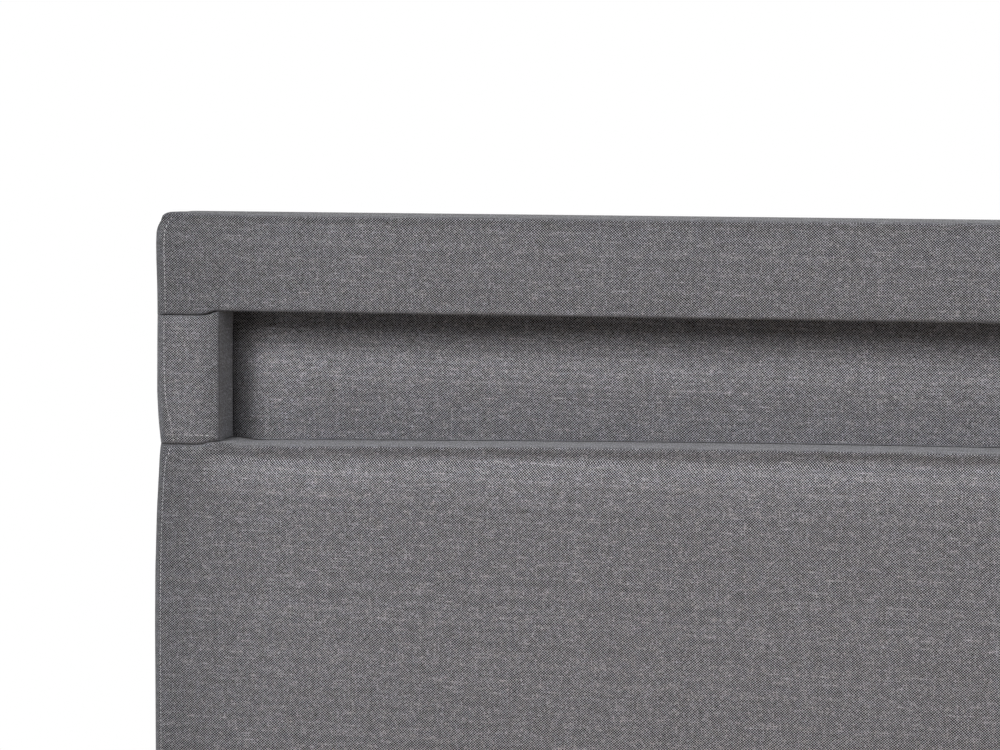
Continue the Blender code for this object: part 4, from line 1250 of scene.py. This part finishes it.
# Places of the bolts: down each bracket, back and down on each plate, and along each arm
BRACKET_BOLTS = (0.028, 0.092)
BRACKET_BOLT_REACH = 0.026
STEEL_THICKNESS = 0.003
ARM_THICKNESS = 0.005
PLATE_BOLTS = ((0.019, 0.060), (0.103, 0.020), (0.068, 0.118), (0.153, 0.208))
ARM_BOLTS = (0.024, 0.084)


class StorageBedBolts(bpy.types.Operator):
    """Sets button-head bolts in the corner brackets, the lift plates and the lift arms"""
    bl_idname = "storage_bed.bolts"
    bl_label = "Bolts"

    def execute(self, context):
        for side, sign in SIDES:
            for end in ("foot", "head"):
                self.bracket(end, side, sign)
            low, high = corners("lift_plate_" + side)
            face = sign * (max(abs(low.x), abs(high.x)) - STEEL_THICKNESS)
            places = [facing((face, high.y - back, high.z - down), (-sign, 0.0, 0.0))
                      for back, down in PLATE_BOLTS]
            fit(self.head(), places, "plate_bolts_" + side, "zinc", "bed_base")
            low, high = corners("lift_arm_" + side)
            face = sign * (min(abs(low.x), abs(high.x)) + ARM_THICKNESS)
            places = [facing((face, low.y + along, (low.z + high.z) / 2), (sign, 0.0, 0.0))
                      for along in ARM_BOLTS]
            fit(self.head(), places, "arm_bolts_" + side, "zinc", "lift_frame")
        return {"FINISHED"}

    def head(self):
        radius, height = sizes().bolt_radius, sizes().bolt_height
        return pressed_ring("bolt_head", radius, height, 0.42 * radius, 0.55 * height, 0.55 * height,
                            hexagon=True)

    def bracket(self, end, side, sign):
        """Two bolts in each of the two upright flanges of a bracket."""
        low, high = corners("corner_bracket_%s_%s" % (end, side))
        back, ahead = (low.y, 1) if end == "foot" else (high.y, -1)
        outer = sign * max(abs(low.x), abs(high.x))
        places = []
        for down in BRACKET_BOLTS:
            for across, along, inward in (
                    (STEEL_THICKNESS, BRACKET_BOLT_REACH, (-sign, 0.0, 0.0)),
                    (BRACKET_BOLT_REACH, STEEL_THICKNESS, (0.0, ahead, 0.0))):
                place = (outer - sign * across, back + ahead * along, high.z - down)
                places.append(facing(place, inward))
        fit(self.head(), places, "bracket_bolts_%s_%s" % (end, side), "zinc", "bed_base")


class StorageBedStrutGlands(bpy.types.Operator):
    """Sets the black rings from which the rods slide out of their cylinders"""
    bl_idname = "storage_bed.strut_glands"
    bl_label = "Strut Glands"

    def execute(self, context):
        for side, _ in SIDES:
            body = points_of(bpy.data.objects["gas_cylinder_" + side])
            rod = points_of(bpy.data.objects["gas_rod_" + side])
            run = Vector(rod.mean(axis=0) - body.mean(axis=0))
            run.x = 0.0
            run.normalize()
            low, high = corners("gas_cylinder_" + side)
            reach = body @ np.array(run)
            tip = body[reach > reach.max() - CLEAR].mean(axis=0)
            place = Vector(((low.x + high.x) / 2, tip[1], tip[2])) - run * 0.0045
            radius = (high.x - low.x) / 2 + 0.0006
            ring = pressed_ring("gland_ring", radius, 0.0062, 0.0054, 0.0012, 0.0014)
            fit(ring, [facing(place, run)], "strut_gland_" + side, "plastic", "gas_cylinder_" + side)
        return {"FINISHED"}


class StorageBedTubeCaps(bpy.types.Operator):
    """Closes the open ends of the two long tubes with square plastic caps"""
    bl_idname = "storage_bed.tube_caps"
    bl_label = "Tube Caps"

    def execute(self, context):
        height = (CROSS_LOW.z + CROSS_HIGH.z) / 2
        for side, _ in SIDES:
            low, high = corners("frame_tube_" + side)
            middle = (low.x + high.x) / 2
            places = [facing((middle, end + outward * CLEAR, height), (0.0, outward, 0.0))
                      for end, outward in ((low.y, -1), (high.y, 1))]
            fit(self.cap(), places, "tube_caps_" + side, "plastic", "lift_frame")
        return {"FINISHED"}

    def cap(self):
        """A square cap on the XY plane, with a raised middle and rounded rims."""
        half = (CROSS_HIGH.z - CROSS_LOW.z) / 2 - CLEAR
        cap = start_box("tube_cap", (-half, -half, 0.0), (half, half, 0.0026))
        open_edit(cap)
        pick_faces(cap, 2, 1, lambda middle: True)
        bpy.ops.mesh.inset(thickness=0.0035)
        bpy.ops.transform.translate(value=(0.0, 0.0, 0.0007))
        pick(cap, "EDGE", lambda edge: max(abs(edge.verts[0].co.x), abs(edge.verts[0].co.y))
             > half - CLEAR and min(vert.co.z for vert in edge.verts) > 0.002)
        bpy.ops.mesh.bevel(offset=0.0010, segments=3)
        close_edit()
        return cap


class StorageBedStaples(bpy.types.Operator):
    """Staples the dust cloth to the back, and the cloth of the rails to their inner sides"""
    bl_idname = "storage_bed.staples"
    bl_label = "Staples"

    def execute(self, context):
        across, back, up = Vector((1, 0, 0)), Vector((0, 1, 0)), Vector((0, 0, 1))
        low, high = corners("headboard_back_lining")
        step, depth = sizes().staple_step, high.y - 0.0006
        places = [lying((place, depth, height), back, across)
                  for height in (low.z + 0.008, high.z - 0.008)
                  for place in even(low.x + 0.02, high.x - 0.02, step)]
        places += [lying((place, depth, height), back, up)
                   for place in (low.x + 0.008, high.x - 0.008)
                   for height in even(low.z + 0.04, high.z - 0.04, step)]
        fit(self.staple(), places, "lining_staples", "staple", "bed_base")
        for side, sign in SIDES:
            low, high = corners("side_rail_cover_" + side)
            inner = sign * min(abs(low.x), abs(high.x))
            places = [lying((inner, along, high.z - 0.038), -sign * across, back)
                      for along in even(low.y + 0.05, high.y - 0.05, step)]
            fit(self.staple(), places, "rail_staples_" + side, "staple", "bed_base")
        low, high = corners("foot_rail_cover")
        places = [lying((place, high.y, high.z - 0.038), back, across)
                  for place in even(low.x + 0.07, high.x - 0.07, step)]
        fit(self.staple(), places, "foot_staples", "staple", "bed_base")
        return {"FINISHED"}

    def staple(self):
        """The crown of a staple along X, with its two bends."""
        piece = start_box("one_staple", (-0.005, -0.0006, -0.0004), (0.005, 0.0006, 0.0003))
        open_edit(piece)
        for place in (-0.0044, 0.0044):
            slice_at(0, place)
        pick(piece, "EDGE", lambda edge: all(vert.co.z > 0.0 for vert in edge.verts))
        bpy.ops.mesh.bevel(offset=0.0002, segments=2)
        close_edit()
        return piece


class StorageBedBackLining(bpy.types.Operator):
    """Makes the dust cloth stapled over the back of the headboard"""
    bl_idname = "storage_bed.back_lining"
    bl_label = "Back Lining"

    def execute(self, context):
        low, high = corners("headboard_back_lining")
        low.y += 0.0004
        high.y -= 0.0006
        piece = start_box("back_lining_cloth", low, high)
        hem_cuts = (0.001, 0.016, 0.018)
        cut_grid(piece, x=graded(low.x, high.x, 0.025, hem_cuts, hem_cuts),
                 z=graded(low.z, high.z, 0.025, hem_cuts, hem_cuts))
        points = points_of(piece)
        edge = np.minimum(high.x - np.abs(points[:, 0]),
                          np.minimum(points[:, 2] - low.z, high.z - points[:, 2]))
        back = points[:, 1] > (low.y + high.y) / 2
        hem = np.where(edge > 0.017, 0.0004, 0.0)
        slack = 0.0002 * ripple(points[:, 0] + 0.4 * points[:, 2], 0.11, 41)
        slack += 0.0002 * ripple(points[:, 2] - 0.3 * points[:, 0], 0.15, 42)
        points[:, 1] -= np.where(back, hem + np.abs(slack) * np.clip(edge / 0.05, 0.0, 1.0), 0.0)
        set_points(piece, points)
        smooth(piece, 40.0)
        paint(piece, "lining")
        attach(piece, "bed_base")
        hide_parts("headboard_back_lining")
        return {"FINISHED"}


class StorageBedPullStrap(bpy.types.Operator):
    """Makes the loop of webbing by which the frame is lifted"""
    bl_idname = "storage_bed.pull_strap"
    bl_label = "Pull Strap"

    def execute(self, context):
        low, high = corners("pull_strap")
        piece = start_box("strap_loop", low, high)
        open_edit(piece)
        pick(piece, "EDGE", lambda edge: abs(edge.verts[0].co.x - edge.verts[1].co.x) > CLEAR)
        bpy.ops.mesh.bevel(offset=0.006, segments=6)
        pick(piece, "FACE", lambda face: abs(face.normal.x) > 0.9)
        bpy.ops.mesh.delete(type="FACE")
        close_edit()
        wall = piece.modifiers.new("solidify", "SOLIDIFY")
        wall.thickness = 0.0019
        wall.offset = -1.0
        bpy.ops.object.modifier_apply(modifier=wall.name)
        cut_grid(piece, z=graded(low.z, high.z, 0.005),
                 x=(low.x + 0.001, low.x + 0.003, 0.0, high.x - 0.003, high.x - 0.001))
        points = points_of(piece)
        rise = np.clip((points[:, 2] - CROSS_HIGH.z) / (high.z - CROSS_HIGH.z), 0.0, 1.0)
        middle = (low.y + high.y) / 2
        points[:, 1] += (middle - points[:, 1]) * 0.22 * np.sin(math.pi * rise)
        points[:, 0] += 0.0006 * ripple(points[:, 2], 0.03, 51) * rise
        set_points(piece, points)
        smooth(piece, 50.0)
        unroll(piece, 1, low.y)
        paint(piece, "webbing")
        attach(piece, "lift_frame")
        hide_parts("pull_strap")
        return {"FINISHED"}


# Wood, steel and plastic of the frame nodes

NODE_FINISHES = {
    "board": ("headboard_core", "side_rail_board", "foot_rail_board"),
    "batten": ("side_cleat", "floor_beam"),
    "floor": ("storage_floor",),
    "slat": ("slat_",),
    "steel": ("frame_tube", "lift_arm", "mattress_stop", "gas_cylinder", "pull_strap"),
    "zinc": ("corner_bracket", "lift_plate", "pivot_bolt"),
    "chrome": ("gas_rod",),
    "plastic": ("beam_foot", "corner_leg", "headboard_glide"),
    "lining": ("headboard_back_lining",),
}


class StorageBedNodeFinishes(bpy.types.Operator):
    """Gives the boards, slats, tubes and fittings of the frame their finishes"""
    bl_idname = "storage_bed.node_finishes"
    bl_label = "Board, Slat and Steel Finishes"

    def execute(self, context):
        for name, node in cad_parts.items():
            for kind, starts in NODE_FINISHES.items():
                if name.startswith(starts):
                    if not node.material_slots:
                        node.data.materials.append(finish_of(kind))
                    for slot in node.material_slots:
                        slot.material = finish_of(kind)
        return {"FINISHED"}


# Stage

CAMERA_PLACE = (0.2497, -2.8580, 1.2176)
CAMERA_YAW = math.radians(11.127)
CAMERA_DOWN = math.radians(4.515)
CAMERA_ROLL = math.radians(0.198)
CAMERA_LENS = 145.12
WHITE = (1.0, 1.0, 1.0, 1.0)

# Each lamp: its name, place, aim, width, height and power
LAMPS = (
    ("front_lamp", (-2.5, -5.1, 4.7), (0.0, 1.0, 0.8), 4.2, 3.8, 610.0),
    ("top_lamp", (0.0, 1.2, 4.6), (0.0, 0.8, 0.0), 3.6, 3.0, 20.0),
    ("side_lamp", (5.0, -1.0, 1.8), (0.4, 0.6, 0.6), 2.4, 2.0, 106.0),
    ("back_lamp", (0.8, 5.6, 1.5), (0.0, 1.0, 0.6), 3.0, 1.6, 60.0),
)


class StorageBedStage(bpy.types.Operator):
    """Sets up the pale floor, the soft lamps and the camera"""
    bl_idname = "storage_bed.stage"
    bl_label = "Floor, Lamps and Camera"

    def execute(self, context):
        context.scene.view_settings.view_transform = "Standard"
        self.lay_floor()
        self.light_world(context.scene)
        for lamp in LAMPS:
            self.add_lamp(*lamp)
        deselect()
        bpy.ops.object.camera_add(location=CAMERA_PLACE)
        camera = named("photo_camera")
        turn = Matrix.Rotation(CAMERA_YAW, 4, "Z") @ Matrix.Rotation(math.pi / 2 - CAMERA_DOWN, 4, "X")
        camera.rotation_euler = (turn @ Matrix.Rotation(CAMERA_ROLL, 4, "Z")).to_euler()
        camera.data.sensor_fit = "HORIZONTAL"
        camera.data.sensor_width = 36.0
        camera.data.lens = CAMERA_LENS
        camera.data.clip_start = 0.05
        context.scene.camera = camera
        return {"FINISHED"}

    def lay_floor(self):
        """A pale floor that the camera sees turn white away from the bed."""
        deselect()
        bpy.ops.mesh.primitive_circle_add(vertices=96, radius=14.0, fill_type="NGON")
        ground = named("studio_floor")
        finish, tree = start_finish("studio_floor")
        shader = tree.nodes["Principled BSDF"]
        reach = place_node(tree, "VectorMath", {0: object_place(tree)}, operation="LENGTH")
        far = remap(tree, reach.outputs["Value"], 2.2, 3.6, smooth=True)
        seen = place_node(tree, "LightPath").outputs["Is Camera Ray"]
        colour = blend_colours(tree, seen, (0.45, 0.45, 0.45), (0.84, 0.84, 0.84))
        feed(tree, shader, {"Base Color": colour, "Roughness": 0.9})
        white = place_node(tree, "Emission", {"Color": WHITE, "Strength": 1.0})
        mix = place_node(tree, "MixShader", {0: maths(tree, "MULTIPLY", far, seen),
                                             1: shader.outputs[0], 2: white.outputs[0]})
        feed(tree, tree.nodes["Material Output"], {"Surface": mix.outputs[0]})
        ground.data.materials.append(finish)

    def light_world(self, scene):
        """A weak light from all sides, which the camera and reflections see as white."""
        scene.world = bpy.data.worlds.new("studio")
        scene.world.use_nodes = True
        tree = scene.world.node_tree
        soft = tree.nodes["Background"]
        feed(tree, soft, {"Color": WHITE, "Strength": 0.10})
        white = place_node(tree, "Background", {"Color": WHITE, "Strength": 1.0})
        rays = place_node(tree, "LightPath").outputs
        seen = maths(tree, "MAXIMUM", rays["Is Camera Ray"], rays["Is Glossy Ray"])
        seen = maths(tree, "MAXIMUM", seen, rays["Is Transmission Ray"])
        mix = place_node(tree, "MixShader", {0: seen, 1: soft.outputs[0], 2: white.outputs[0]})
        feed(tree, tree.nodes["World Output"], {"Surface": mix.outputs[0]})

    def add_lamp(self, name, place, aim, width, height, power):
        deselect()
        bpy.ops.object.light_add(type="AREA", location=place)
        lamp = named(name)
        lamp.data.shape = "RECTANGLE"
        lamp.data.size = width
        lamp.data.size_y = height
        lamp.data.energy = power
        lamp.rotation_euler = (Vector(aim) - Vector(place)).to_track_quat("-Z", "Y").to_euler()


class StorageBedPanel(bpy.types.Panel):
    """Lists what the bed is dressed with"""
    bl_label = "Storage Bed"
    bl_idname = "STORAGE_BED_PT_panel"
    bl_space_type = "VIEW_3D"
    bl_region_type = "UI"
    bl_category = "Storage Bed"

    def draw(self, context):
        for operator in OPERATORS:
            self.layout.operator(operator.bl_idname)
        for group in (sizes(), colours()):
            box = self.layout.box()
            for name in group.__annotations__:
                box.prop(group, name)


OPERATORS = (
    StorageBedStage,
    StorageBedHeadboardBolster,
    StorageBedHeadboardPosts,
    StorageBedNichePanel,
    StorageBedLowerPad,
    StorageBedStitching,
    StorageBedSideRails,
    StorageBedFootRail,
    StorageBedBackLining,
    StorageBedStaples,
    StorageBedPullStrap,
    StorageBedBolts,
    StorageBedStrutGlands,
    StorageBedTubeCaps,
    StorageBedNodeFinishes,
)
CLASSES = (StorageBedSizes, StorageBedColours, *OPERATORS, StorageBedPanel)


def register():
    for item in CLASSES:
        bpy.utils.register_class(item)
    bpy.types.Scene.storage_bed_sizes = PointerProperty(type=StorageBedSizes)
    bpy.types.Scene.storage_bed_colours = PointerProperty(type=StorageBedColours)


def unregister():
    del bpy.types.Scene.storage_bed_sizes
    del bpy.types.Scene.storage_bed_colours
    for item in reversed(CLASSES):
        bpy.utils.unregister_class(item)


def main():
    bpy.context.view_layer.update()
    register()
    for operator in OPERATORS:
        group, name = operator.bl_idname.split(".")
        getattr(getattr(bpy.ops, group), name)()


if __name__ == "__main__":
    main()
